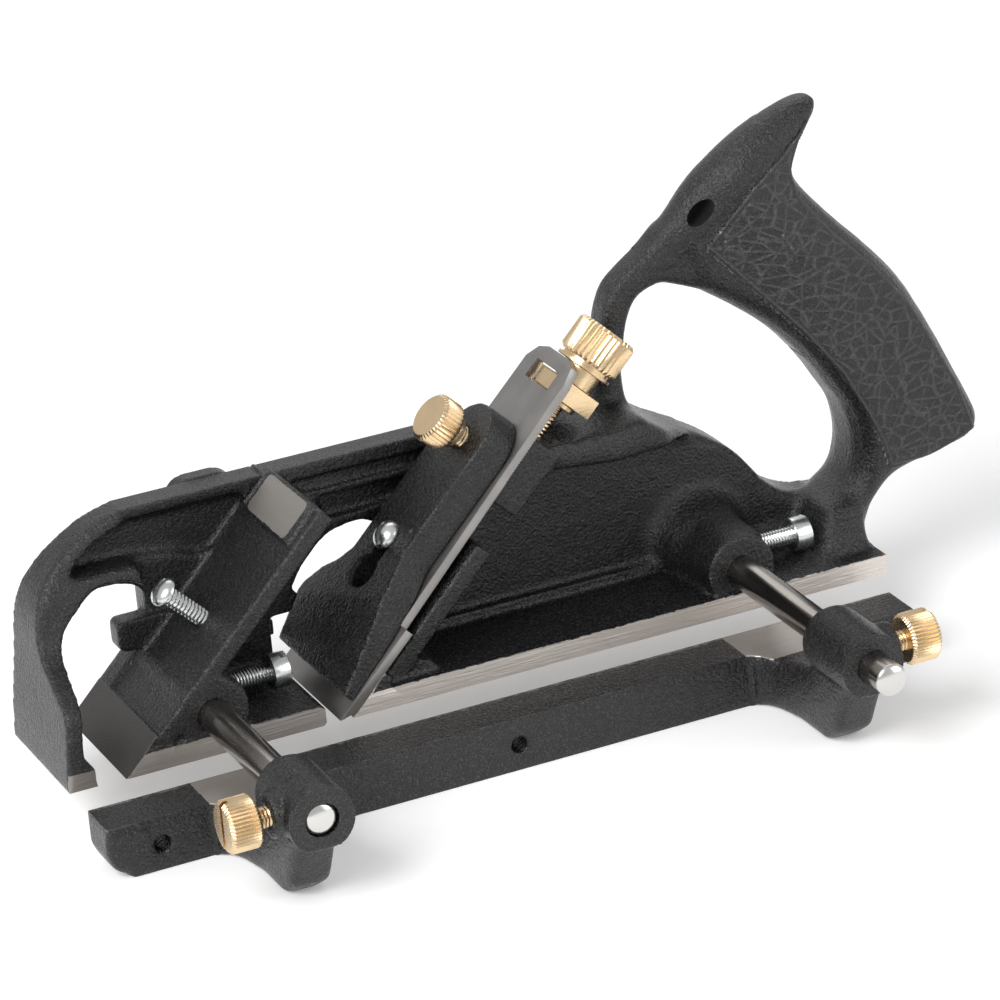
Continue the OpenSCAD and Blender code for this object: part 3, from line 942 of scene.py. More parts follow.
@dataclass(frozen=True)
class Flat:
    """A ground plane on a casting: vertices close to it are laid on it."""

    point: Triple
    normal: Triple
    box: Box = region()
    reach: float = 0.5

    def near(self, points: np.ndarray, reach: float) -> np.ndarray:
        """Choose the points that are close to the plane inside its box.

        Args:
            points: Points in millimetres, with X from the toe.
            reach: Greatest distance to the plane.

        Returns:
            One truth value for each point.
        """
        gap = (points - np.array(self.point)) @ np.array(self.normal)
        return (np.abs(gap) < reach) & within_box(points, self.box)

    def lay(self, points: np.ndarray) -> np.ndarray:
        """Move the points near the plane onto it.

        Args:
            points: Points in millimetres, with X from the toe.

        Returns:
            The points with the near ones moved.
        """
        chosen = self.near(points, self.reach)
        gap = (points - np.array(self.point)) @ np.array(self.normal)
        return points - np.where(chosen, gap, 0.0)[:, None] * np.array(self.normal)


@dataclass(frozen=True)
class Bore:
    """A drilled hole in a casting: vertices close to its wall are laid on it."""

    point: Triple
    axis: Triple
    radius: float
    reach: float = 0.7
    span: Pair = (-1000.0, 1000.0)

    def lay(self, points: np.ndarray) -> np.ndarray:
        """Move the points near the wall onto it.

        Args:
            points: Points in millimetres, with X from the toe.

        Returns:
            The points with the near ones moved.
        """
        axis = np.array(self.axis) / np.linalg.norm(self.axis)
        local = points - np.array(self.point)
        along = local @ axis
        across = local - along[:, None] * axis
        distance = np.linalg.norm(across, axis=1)
        inside = (along > self.span[0]) & (along < self.span[1])
        chosen = (np.abs(distance - self.radius) < self.reach) & inside
        share = np.where(chosen & (distance > 1e-6), self.radius / np.maximum(distance, 1e-6), 1.0)
        return points + across * (share - 1.0)[:, None]


@dataclass(frozen=True)
class Soft:
    """A part of a casting that is rounded further, and swells to keep its size.

    It is what lies in one of its boxes and within its slant, the span of station less height.
    """

    boxes: Tuple[Box, ...]
    passes: int
    swell: float = 0.0
    slant: Pair = (-1000.0, 1000.0)

    def holds(self, points: np.ndarray) -> np.ndarray:
        """Choose the points of this part.

        Args:
            points: Points in millimetres, with X from the toe.

        Returns:
            One truth value for each point.
        """
        chosen = np.any([within_box(points, box) for box in self.boxes], axis=0)
        slant = points[:, 0] - points[:, 2]
        return chosen & (slant > self.slant[0]) & (slant < self.slant[1])


@dataclass
class Casting:
    """A sand-cast piece with soft edges and fillets, made from a CAD node."""

    node: str
    name: str
    body: str
    finish: Enamel
    voxel: float = 0.5
    passes: int = 14
    settle: int = 6
    flats: Tuple[Flat, ...] = ()
    flat_reach: float = 0.3
    bores: Tuple[Bore, ...] = ()
    softs: Tuple[Soft, ...] = ()
    ripple: float = 0.1
    ripple_size: float = 4.0
    triangles: int = 190000

    def build(self) -> bpy.types.Object:
        """Remesh the node, soften its edges and lay its ground faces flat again.

        Returns:
            The finished piece, not yet dressed.
        """
        piece = Bench.copy_node(self.node, self.name)
        self.fill(piece)
        Bench.modify(piece, "REMESH", mode="VOXEL", voxel_size=self.voxel * MM, adaptivity=0.0)
        self.round_edges(piece)
        self.lay(piece)
        self.finer(piece)
        count = sum(len(face.vertices) - 2 for face in piece.data.polygons)
        if count > self.triangles:
            Bench.modify(piece, "DECIMATE", ratio=self.triangles / count)
            self.lay(piece)
        piece.vertex_groups.clear()
        self.pierce(piece)
        self.keep(piece)
        Bench.smooth(piece, 50.0)
        return piece

    def round_edges(self, piece: bpy.types.Object) -> None:
        """Round all that isn't ground and give it a slow ripple.

        Args:
            piece: The dense casting.
        """
        points = Bench.points(piece)
        ground = np.zeros(len(points), bool)
        for flat in self.flats:
            ground |= flat.near(points, self.flat_reach)
        cast = Bench.group(piece, "cast", ~ground)
        Bench.soften(piece, self.passes, cast)
        for index, soft in enumerate(self.softs):
            name = Bench.group(piece, "soft_%d" % index, soft.holds(Bench.points(piece)) & ~ground)
            Bench.soften(piece, soft.passes, name)
            if soft.swell:
                Bench.modify(piece, "DISPLACE", strength=soft.swell * MM, mid_level=0.0, vertex_group=name)
                Bench.soften(piece, self.settle, name)
        ripple = bpy.data.textures.new(self.name + "_ripple", "CLOUDS")
        ripple.noise_scale = self.ripple_size * MM
        Bench.modify(piece, "DISPLACE", texture=ripple, texture_coords="LOCAL", strength=self.ripple * MM,
                     mid_level=0.5, vertex_group=cast)

    def keep(self, piece: bpy.types.Object) -> None:
        """Keep a piece inside its node's box."""
        low, high = (np.array(corner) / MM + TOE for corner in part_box(self.node))
        Bench.set_points(piece, np.clip(Bench.points(piece), low, high))

    def fill(self, piece: bpy.types.Object) -> None:
        """Fill holes that are cut again when the casting is smooth; a plain casting has none."""

    def pierce(self, piece: bpy.types.Object) -> None:
        """Cut the holes that were filled; a plain casting has none."""

    def lay(self, piece: bpy.types.Object) -> None:
        """Lay the ground faces and the bores true.

        Args:
            piece: The smooth casting.
        """
        points = Bench.points(piece)
        for bore in self.bores:
            points = bore.lay(points)
        for flat in self.flats:
            points = flat.lay(points)
        Bench.set_points(piece, points)

    def finer(self, piece: bpy.types.Object) -> None:
        """Take finer pieces from the casting while it is still dense; a plain casting has none."""

    def dress(self, piece: bpy.types.Object) -> None:
        """Give the piece its enamel and its place."""
        fit(piece, self.body, Slot.ENAMEL, self.finish.material(), self.node)


@dataclass(frozen=True)
class CrackNet:
    """A net of uneven cells whose lines are veins.

    A cell has a width, a lean in degrees and a stretch, its length over its width.
    The share is how strong the veins are.
    """

    width: float
    lean: float
    stretch: float
    share: float

    @staticmethod
    def scatter(column: np.ndarray, row: np.ndarray, first: float, second: float) -> np.ndarray:
        """Steady number from 0 to 1 for each cell, which looks like chance."""
        return np.sin(column * first + row * second) * 43758.5 % 1.0

    def distance(self, points: np.ndarray) -> np.ndarray:
        """Measure points to the lines of the net.

        Args:
            points: Points in millimetres, with X from the toe.

        Returns:
            The distances in millimetres.
        """
        u, v = slanted(points[:, 0], points[:, 2], self.lean)
        u, v = u / (self.width * self.stretch), v / self.width
        near = np.full((3, len(points)), 1e3)
        after = near.copy()
        for right in range(-2, 3):
            for up in range(-2, 3):
                column, row = np.floor(u) + right, np.floor(v) + up
                across = column + self.scatter(column, row, 127.1, 311.7) - u
                along = row + self.scatter(column, row, 269.5, 183.3) - v
                seed = np.array([across ** 2 + along ** 2, across, along])
                first = seed[0] < near[0]
                second = ~first & (seed[0] < after[0])
                after = np.where(first, near, np.where(second, seed, after))
                near = np.where(first, seed, near)
        apart = np.hypot(after[1] - near[1], after[2] - near[2])
        return (after[0] - near[0]) / (2 * np.maximum(apart, 1e-6)) * self.width


@dataclass
class BodyCasting(Casting):
    """The plane's one main casting, with crackled panels on both sides of its grip."""

    panel: Tuple[Pair, ...] = (
        (213.0, 114.0), (203.0, 106.0), (193.7, 99.3), (182.5, 86.0), (189.2, 78.2), (203.0, 61.9),
        (212.4, 49.1), (218.5, 37.5), (222.4, 28.4), (224.0, 21.8), (236.0, 21.5), (248.5, 26.0),
        (244.0, 40.0), (232.0, 63.5), (222.6, 75.5), (214.0, 84.5), (206.6, 94.5), (205.4, 101.0),
        (208.5, 108.0))
    panel_facing: float = 0.25
    plug_at: Pair = (182.2, 94.2)
    plug_span: Pair = (3.2, 15.3)
    plug_radius: float = 2.5
    web_at: Triple = (177.9, 10.7, 82.9)
    web_box: Box = ((-1.5, -4.6, -8.0), (3.6, 4.6, 8.0))
    web_lean: float = -24.0
    hole_at: Pair = (181.8, 94.9)
    hole_half: Pair = (4.0, 2.2)
    hole_span: Pair = (-30.0, 40.0)
    hole_lean: float = 46.0
    hole_edge: float = 1.01
    stand: float = 0.16
    rim: float = 0.3
    rim_at: float = 0.55
    rim_width: float = 0.3
    # Share of the rim in the crackle mask, which paints a highlight on it.
    rim_glint_share: float = 0.6
    vein: float = 0.3
    vein_width: float = 0.22
    vein_margin: float = 1.0
    vein_fade: float = 0.6
    backing: float = 0.9
    nets: Tuple[CrackNet, ...] = (CrackNet(3.2, -14.0, 1.9, 1.0), CrackNet(4.8, 62.0, 2.2, 0.85))
    grip_finish: Enamel = Enamel("grip enamel", crackle=True, rough=0.36)
    skins: List[bpy.types.Object] = field(default_factory=list)

    def fill(self, piece: bpy.types.Object) -> None:
        """Plug the hanging hole and fill the crease between strut and grip.

        Args:
            piece: The copy of the CAD node.
        """
        low, high = self.plug_span
        plug = Bench.spin([(0.0, low), (self.plug_radius, low), (self.plug_radius, high), (0.0, high)], 24)
        x, z = self.plug_at
        Bench.place(plug, station(x, 0.0, z) @ turned(-90, "X"))
        web = Bench.block(*self.web_box)
        Bench.place(web, station(*self.web_at) @ turned(self.web_lean, "Y"))
        Bench.join(self.name, [piece, plug, web])

    def pierce(self, piece: bpy.types.Object) -> None:
        """Cut the oval hanging hole through the horn and mark its wall.

        Args:
            piece: The smooth casting.
        """
        x, z = self.hole_at
        long, short = self.hole_half
        low, high = self.hole_span
        drill = Bench.spin([(0.0, low), (1.0, low), (1.0, high), (0.0, high)], 48)
        drill.data.transform(Matrix.Diagonal((long, short, 1.0, 1.0)))
        turn = turned(-90, "X") @ turned(-self.hole_lean, "Z")
        Bench.cut(piece, Bench.place(drill, station(x, 0.0, z) @ turn))
        local = Bench.read(piece.data.polygons, "center") / MM - np.array([x - HALF_LENGTH, 0.0, z])
        along, aside = slanted(local[:, 0], local[:, 2], self.hole_lean)
        # The wall's mark darkens it in the enamel: painted shade inside the hole.
        wall = (np.hypot(along / long, aside / short) < self.hole_edge).astype(np.float32)
        piece.data.attributes.new("bore", "FLOAT", "FACE").data.foreach_set("value", wall)

    def within(self, points: np.ndarray) -> Tuple[np.ndarray, np.ndarray]:
        """Test points against the panel's outline.

        Args:
            points: Points in millimetres, with X from the toe.

        Returns:
            Truth values for the points inside and their distances to the outline.
        """
        x, z = points[:, 0], points[:, 2]
        inside = np.zeros(len(points), bool)
        distance = np.full(len(points), 1e6)
        corners = np.array(self.panel)
        for (ax, az), (bx, bz) in zip(corners, np.roll(corners, -1, axis=0)):
            crosses = (az > z) != (bz > z)
            edge = ax + (z - az) / (bz - az if bz != az else 1e-9) * (bx - ax)
            inside ^= crosses & (x < edge)
            length = (bx - ax) ** 2 + (bz - az) ** 2
            share = np.clip(((x - ax) * (bx - ax) + (z - az) * (bz - az)) / length, 0, 1)
            distance = np.minimum(distance, np.hypot(x - ax - share * (bx - ax), z - az - share * (bz - az)))
        return inside, distance

    def finer(self, piece: bpy.types.Object) -> None:
        """Copy the grip's two sides and crackle them.

        Args:
            piece: The dense casting.
        """
        for side, name in ((-1, "grip_panel_near"), (1, "grip_panel_far")):
            skin = Bench.add(name, piece.data.copy())
            inside, _ = self.within(Bench.points(skin))
            for face in skin.data.polygons:
                kept = inside[face.vertices[0]] and face.normal.y * side > self.panel_facing
                face.select = not kept
            Bench.pick(skin)
            bpy.ops.object.mode_set(mode="EDIT")
            bpy.ops.mesh.select_mode(type="FACE")
            bpy.ops.mesh.delete(type="FACE")
            bpy.ops.mesh.select_all(action="SELECT")
            bpy.ops.mesh.subdivide(number_cuts=1)
            bpy.ops.object.mode_set(mode="OBJECT")
            self.crackle(skin)
            self.skins.append(skin)

    @staticmethod
    def waves(x: np.ndarray, z: np.ndarray) -> np.ndarray:
        """Uneven waves from -1 to 1, about 4 mm long, that break up the veins."""
        rising = np.sin(1.9 * x + 0.7 * z + 2.0 * np.sin(0.8 * z))
        return rising * np.sin(1.7 * z - 0.6 * x + 1.3 * np.sin(0.9 * x))

    def crackle(self, skin: bpy.types.Object) -> None:
        """Raise the panel, its rim and a net of veins and close it behind.

        Args:
            skin: The open copy of one side of the grip.
        """
        skin.vertex_groups.clear()
        Bench.modify(skin, "DISPLACE", strength=self.stand * MM, mid_level=0.0)
        points = Bench.points(skin)
        _, distance = self.within(points)
        veins = np.zeros(len(points))
        for net in self.nets:
            veins = np.maximum(veins, net.share * bell(net.distance(points) / self.vein_width))
        inner = np.clip((distance - self.vein_margin) / self.vein_fade, 0.0, 1.0)
        veins *= inner * (0.65 + 0.35 * self.waves(points[:, 0], points[:, 2]))
        rim = bell((distance - self.rim_at) / self.rim_width)
        rise = self.vein * veins + self.rim * rim
        Bench.set_points(skin, points + Bench.read(skin.data.vertices, "normal") * rise[:, None])
        Bench.modify(skin, "SOLIDIFY", thickness=self.backing * MM, offset=-1.0)
        # The mask lightens the veins and rim in the grip enamel: painted highlight on their raised edges, and
        # partly a lighter vein tone.
        mask = np.zeros(len(skin.data.vertices), np.float32)
        mask[:len(points)] = np.maximum(veins, self.rim_glint_share * rim)
        skin.data.attributes.new("crackle", "FLOAT", "POINT").data.foreach_set("value", mask)
        self.keep(skin)
        Bench.smooth(skin, 40.0)

    def dress(self, piece: bpy.types.Object) -> None:
        """Give the casting and its grip panels their enamel and their place.

        Args:
            piece: The finished casting.
        """
        super().dress(piece)
        finish = self.grip_finish.material()
        for skin in self.skins:
            fit(skin, self.body, Slot.ENAMEL, finish)


@dataclass
class Ground:
    """A machined piece with fine broken edges, made from a CAD node."""

    node: str
    name: str
    body: str
    finish: Metal
    edge: float = 0.25
    segments: int = 2

    def build(self) -> bpy.types.Object:
        """Copy the node, merge its flat faces and break its edges.

        Returns:
            The finished piece, not yet dressed.
        """
        piece = Bench.copy_node(self.node, self.name)
        Bench.edit(piece)
        bpy.ops.mesh.dissolve_limited(angle_limit=math.radians(1.0))
        bpy.ops.object.mode_set(mode="OBJECT")
        Bench.modify(piece, "BEVEL", width=self.edge * MM, segments=self.segments, limit_method="ANGLE",
                     angle_limit=math.radians(35), use_clamp_overlap=True)
        Bench.smooth(piece, 30.0)
        return piece

    def dress(self, piece: bpy.types.Object) -> None:
        """Give the piece its metal and its place."""
        fit(piece, self.body, self.finish.slot, self.finish.material(), self.node)


@dataclass
class Cutter(Ground):
    """The cutter, with a fine rack across its underside."""

    rack_from: float = 66.0
    rack_to: float = 88.0
    pitch: float = 0.8
    tooth: float = 0.26
    tooth_reach: float = 20.0
    tooth_height: float = 0.1

    def build(self) -> bpy.types.Object:
        """Make the cutter and cut its rack.

        Returns:
            The finished piece, not yet dressed.
        """
        piece = super().build()
        low = (-self.tooth, -self.tooth_reach, -self.tooth)
        high = (self.tooth, self.tooth_reach, self.tooth)
        teeth = []
        for index in range(int((self.rack_to - self.rack_from) / self.pitch)):
            along = self.rack_from + index * self.pitch
            tooth = Bench.block(low, high)
            place = on_bed(MAIN_BED, along, 0.0, self.tooth_height) @ turned(45, "Y")
            teeth.append(Bench.place(tooth, place))
        Bench.cut(piece, Bench.join("rack", teeth))
        Bench.smooth(piece, 30.0)
        return piece


@dataclass(frozen=True)
class Thread:
    """A threaded shank about Z with one chamfered end: the depth is a share of the pitch."""

    radius: float
    low: float
    high: float
    pitch: float
    depth: float
    chamfer: float
    chamfer_high: bool
    steps: int

    def radii(self, radius: np.ndarray, angle: np.ndarray, height: np.ndarray) -> np.ndarray:
        """Cut a V thread that fades into the chamfer.

        Args:
            radius: Radii of the plain shank.
            angle: Angles about Z.
            height: Heights along Z.

        Returns:
            The new radii.
        """
        turn = (height / self.pitch - angle / (2 * np.pi)) % 1.0
        cut = self.depth * self.pitch * (1 - np.abs(2 * turn - 1))
        from_end = self.high - height if self.chamfer_high else height - self.low
        chamfer = np.clip(self.chamfer - from_end, 0, self.chamfer)
        return np.where(radius > 0.01, np.minimum(self.radius - cut, self.radius - chamfer), radius)

    def build(self) -> bpy.types.Object:
        """Spin the shank with six rings to a turn and cut its thread.

        Returns:
            The shank.
        """
        length = self.high - self.low
        rings = max(8, int(length / self.pitch * 6))
        rise = [self.low + length * k / rings for k in range(rings + 1)]
        profile = [(0.0, self.low)] + [(self.radius, z) for z in rise] + [(0.0, self.high)]
        piece = Bench.spin(profile, self.steps)
        Bench.round_about(piece, self.radii)
        return piece


def knurl(angle: np.ndarray, flutes: int, depths: Sequence[float]) -> np.ndarray:
    """Depth of a straight knurl, which goes through a few columns for each flute.

    Args:
        angle: Angles about Z.
        flutes: Number of flutes round.
        depths: Depth of each column of a flute.

    Returns:
        The depth at each angle.
    """
    steps = flutes * len(depths)
    column = np.round(angle / (2 * np.pi) * steps).astype(int) % len(depths)
    return np.array(depths)[column]


@dataclass
class Screw:
    """A screw or thumbscrew turned about Z, with its tip down and a real thread."""

    node: str
    finish: Metal
    matrix: Matrix
    thread: float
    tip: float
    neck: float
    head: float
    top: float
    form: HeadForm = HeadForm.CHEESE
    slot_width: float = 0.0
    slot_depth: float = 0.0
    pitch: float = 0.8
    flutes: int = 36
    collar: Tuple[Pair, ...] = ()
    flute_depths: Tuple[float, ...] = (0.5, 0.175, 0.0, 0.175)

    def domed(self, radius: float, low: float, high: float) -> bpy.types.Object:
        """Round head on a low rim.

        Args:
            radius: Its radius.
            low: Height of its underside.
            high: Height of its top.

        Returns:
            The head.
        """
        rim = 0.25
        slopes = [math.radians(degrees) for degrees in range(0, 76, 15)]
        arc = [(radius * math.cos(a), low + rim + (high - low - rim) * math.sin(a)) for a in slopes]
        return Bench.spin([(0.0, low), (radius - 0.2, low), (radius, low + 0.1), *arc, (0.0, high)], 40)

    def cheese(self, radius: float, low: float, high: float) -> bpy.types.Object:
        """Flat head with broken edges.

        Args:
            radius: Its radius.
            low: Height of its underside.
            high: Height of its top.

        Returns:
            The head.
        """
        foot, edge, bend = 0.3, 0.45, 0.15
        profile = [(0.0, low), (radius - foot, low), (radius, low + foot), (radius, high - edge),
                   (radius - bend, high - bend), (radius - edge, high), (0.0, high)]
        return Bench.spin(profile, 48)

    def knurled(self, radius: float, low: float, high: float) -> bpy.types.Object:
        """Straight-knurled head with chamfered rims.

        Args:
            radius: Radius over the knurls.
            low: Height of its underside.
            high: Height of its top.

        Returns:
            The head.
        """
        edge, bend, ease = 0.9, 0.7, 0.1
        profile = [(0.0, low), (radius - edge, low), (radius - ease, low + bend), (radius, low + edge),
                   (radius, high - edge), (radius - ease, high - bend), (radius - edge, high), (0.0, high)]
        piece = Bench.spin(profile, self.flutes * len(self.flute_depths))

        def flute(r: np.ndarray, angle: np.ndarray, z: np.ndarray) -> np.ndarray:
            """Cut a knurl that runs out over the chamfers.

            Args:
                r: Radii of the plain head.
                angle: Angles about Z.
                z: Heights along Z.

            Returns:
                The new radii.
            """
            rim = np.clip((radius + 0.05 - r) / edge, 0, 1)
            cut = knurl(angle, self.flutes, self.flute_depths) * (1 - rim)
            return np.where(r > radius - edge + 0.05, r - cut, r)

        Bench.round_about(piece, flute)
        return piece

    def crown(self) -> bpy.types.Object:
        """Head of the screw with its slot.

        Returns:
            The head.
        """
        heads = {HeadForm.ROUND: self.domed, HeadForm.CHEESE: self.cheese, HeadForm.KNURLED: self.knurled}
        piece = heads[self.form](self.head / 2, self.neck, self.top)
        if self.slot_width:
            low = (-self.head, -self.slot_width / 2, self.top - self.slot_depth)
            Bench.cut(piece, Bench.block(low, (self.head, self.slot_width / 2, self.top + 1.0)))
        return piece

    def build(self) -> bpy.types.Object:
        """Join head, shank and collar and put them in place.

        Returns:
            The finished piece, not yet dressed.
        """
        shank = Thread(self.thread / 2, self.tip, self.neck, self.pitch, depth=0.34, chamfer=0.8,
                       chamfer_high=False, steps=32)
        pieces = [self.crown(), shank.build()]
        if self.collar:
            pieces.append(Bench.spin(self.collar, 40))
        piece = Bench.join(self.node + "_turned", pieces)
        Bench.place(piece, self.matrix)
        Bench.smooth(piece, 32.0)
        return piece

    def dress(self, piece: bpy.types.Object) -> None:
        """Give the piece its metal and its place."""
        fit(piece, self.node, self.finish.slot, self.finish.material(), self.node)


@dataclass
class Rod:
    """A fence rod with a domed, polished near end and a chamfered far end."""

    place: RodPlace
    steel: Metal
    radius: float = 4.0
    dome: float = 1.6
    polish: float = 1.4
    shoulder: float = 6.0
    chamfer: float = 0.8

    def build(self) -> bpy.types.Object:
        """Spin the rod and lay it across the plane.

        Returns:
            The finished piece, not yet dressed.
        """
        near, far = self.place.near, self.place.far
        slopes = [math.radians(degrees) for degrees in range(0, 91, 10)]
        dome = [(self.radius * math.sin(a), near + self.dome * (1 - math.cos(a))) for a in slopes]
        profile = dome + [(self.radius, near + self.shoulder), (self.radius, far - self.chamfer),
                          (self.radius - self.chamfer, far), (0.0, far)]
        piece = Bench.spin(profile, 64)
        piece.name = "fence_rod_%s_turned" % self.place.end
        Bench.place(piece, station(self.place.x, 0.0, ROD_HEIGHT) @ turned(-90, "X"))
        Bench.smooth(piece, 35.0)
        return piece

    def dress(self, piece: bpy.types.Object) -> None:
        """Give the rod its steel and its place.

        Args:
            piece: The finished rod.
        """
        name = self.place.end + " rod steel"
        finish = replace(self.steel, name=name, bright_end=self.place.near + self.polish)
        node = "fence_rod_" + self.place.end
        fit(piece, node, finish.slot, finish.material(), node)


@dataclass
class AdjusterNut:
    """The knurled nut of the cutter adjuster, turned along the bed."""

    finish: Metal
    flutes: int = 30
    flute_depths: Tuple[float, ...] = (0.6, 0.2, 0.0, 0.2)
    flutes_from: float = 99.9
    radius: float = 7.75
    bore: float = 2.05

    def build(self) -> bpy.types.Object:
        """Spin the nut with its bore and cut its knurl.

        Returns:
            The finished piece, not yet dressed.
        """
        groove = [(4.3, 87.4), (4.5, 87.6), (4.5, 88.5), (4.3, 88.7), (3.5, 88.8), (3.5, 93.6)]
        flange = [(4.8, 93.7), (5.0, 93.9), (5.0, 98.0), (7.0, 98.0), (7.25, 98.2), (7.25, 98.9)]
        neck = [(6.3, 99.0), (6.25, 99.7)]
        rim = self.radius
        head = [(rim - 0.8, 99.8), (rim, 100.6), (rim, 108.1), (rim - 0.9, 109.0)]
        top = [(2.6, 109.0), (self.bore, 108.6)]
        foot = (self.bore, 87.4)
        profile = [foot, *groove, *flange, *neck, *head, *top, foot]
        piece = Bench.spin(profile, self.flutes * len(self.flute_depths))

        def flute(radius: np.ndarray, angle: np.ndarray, z: np.ndarray) -> np.ndarray:
            """Radii with a knurl on the head."""
            knurled = (radius > self.radius - 0.3) & (z > self.flutes_from)
            return np.where(knurled, radius - knurl(angle, self.flutes, self.flute_depths), radius)

        Bench.round_about(piece, flute)
        piece.name = "adjuster_nut_turned"
        Bench.place(piece, on_stud())
        Bench.smooth(piece, 30.0)
        return piece

    def dress(self, piece: bpy.types.Object) -> None:
        """Give the nut its brass and its place."""
        fit(piece, "adjuster_nut", self.finish.slot, self.finish.material(), "adjuster_nut")


@dataclass
class AdjusterStud:
    """The threaded stud that the adjuster nut runs on."""

    finish: Metal
    shank: Thread = Thread(2.0, 64.0, 107.0, 1.0, depth=0.3, chamfer=0.6, chamfer_high=True, steps=24)

    def build(self) -> bpy.types.Object:
        """Make the stud and lay it along the bed.

        Returns:
            The finished piece, not yet dressed.
        """
        piece = self.shank.build()
        piece.name = "adjuster_stud_turned"
        Bench.place(piece, on_stud())
        Bench.smooth(piece, 35.0)
        return piece

    def dress(self, piece: bpy.types.Object) -> None:
        """Give the stud its brass and its place."""
        fit(piece, "plane", self.finish.slot, self.finish.material(), "adjuster_stud")


@dataclass(frozen=True)
class Lamp:
    """A soft square lamp that faces the plane: its place, side and aim in metres and its power in watts."""

    name: str
    place: Triple
    power: float
    size: float = 0.8
    aim: Triple = (0.02, -0.01, 0.03)

    def hang(self) -> None:
        """Put the lamp in its place."""
        data = bpy.data.lights.new(self.name, "AREA")
        data.size = self.size
        data.energy = self.power
        lamp = Bench.add(self.name, data)
        lamp.location = self.place
        ray = Vector(self.aim) - Vector(self.place)
        lamp.rotation_euler = ray.to_track_quat("-Z", "Y").to_euler()


@dataclass
class Studio:
    """Camera, floor, world and lamps; the camera's angles are degrees and its lens is for a 36 mm frame."""

    target: Triple = (13.55, -2.29, 37.47)
    azimuth: float = -22.92
    elevation: float = 22.96
    roll: float = -5.04
    distance: float = 1173.0
    lens: float = 177.3
    floor_height: float = -14.4
    floor_side: float = 8.0
    floor_colour: Triple = (0.9, 0.9, 0.9)
    floor_fleck: float = 1.02
    floor_shown: float = 0.2
    world_light: float = 0.45
    world_shown: float = 0.62
    lamps: Tuple[Lamp, ...] = (
        Lamp("key", (-0.9, -0.5, 0.9), 16.0),
        Lamp("fill", (0.9, -0.9, 0.5), 5.0),
        Lamp("back", (0.3, 0.9, 0.9), 2.5),
    )

    def camera(self) -> None:
        """Place the camera on the near side, above the toe and a little rolled."""
        data = bpy.data.cameras.new("camera")
        data.lens = self.lens
        data.sensor_width = 36.0
        data.sensor_fit = "HORIZONTAL"
        data.clip_start = 0.01
        data.clip_end = 50.0
        camera = Bench.add("camera", data)
        turn = turned(self.azimuth, "Z") @ turned(90 - self.elevation, "X") @ turned(self.roll, "Z")
        away = Matrix.Translation((0.0, 0.0, self.distance * MM))
        camera.matrix_world = Matrix.Translation(Vector(self.target) * MM) @ turn @ away
        bpy.context.scene.camera = camera

    def floor(self) -> None:
        """Lay a wide pale floor under the fence."""
        Bench.clear()
        bpy.ops.mesh.primitive_plane_add(size=self.floor_side, location=(0, 0, self.floor_height * MM))
        floor = bpy.context.object
        floor.name = "floor"
        made, net = new_material("floor")
        fleck = tinted(self.floor_colour, self.floor_fleck)
        paper = net.mix(net.noise(net.place(), scale=30.0), self.floor_colour, fleck)
        matt = net.add("ShaderNodeBsdfDiffuse", {"Color": paper})
        strength = net.math("MULTIPLY", self.seen(net), self.floor_shown)
        glow = net.add("ShaderNodeEmission", {"Strength": strength})
        net.output(net.add("ShaderNodeAddShader", {0: matt.outputs[0], 1: glow.outputs[0]}))
        floor.data.materials.append(made)

    @staticmethod
    def seen(net: Net) -> bpy.types.NodeSocket:
        """Tell rays from the camera, a reflection or a clear piece from rays of light.

        Args:
            net: The material's or the world's tree.

        Returns:
            A socket that is 1 for such a ray.
        """
        path = net.add("ShaderNodeLightPath").outputs
        shiny = net.math("MAXIMUM", path["Is Glossy Ray"], path["Is Transmission Ray"])
        return net.math("MAXIMUM", path["Is Camera Ray"], shiny)

    def world(self) -> None:
        """Pale surroundings with a plain level of light."""
        world = bpy.data.worlds.new("studio")
        bpy.context.scene.world = world
        world.use_nodes = True
        net = Net(world.node_tree)
        shown = net.between(self.seen(net), self.world_light, self.world_shown)
        sky = net.add("ShaderNodeBackground", {"Color": (1.0, 1.0, 1.0, 1.0), "Strength": shown})
        net.add("ShaderNodeOutputWorld", {"Surface": sky.outputs[0]})

    def build(self) -> None:
        """Set the camera, floor, world and lamps."""
        bpy.context.scene.view_settings.view_transform = "Standard"
        self.camera()
        self.floor()
        self.world()
        for lamp in self.lamps:
            lamp.hang()


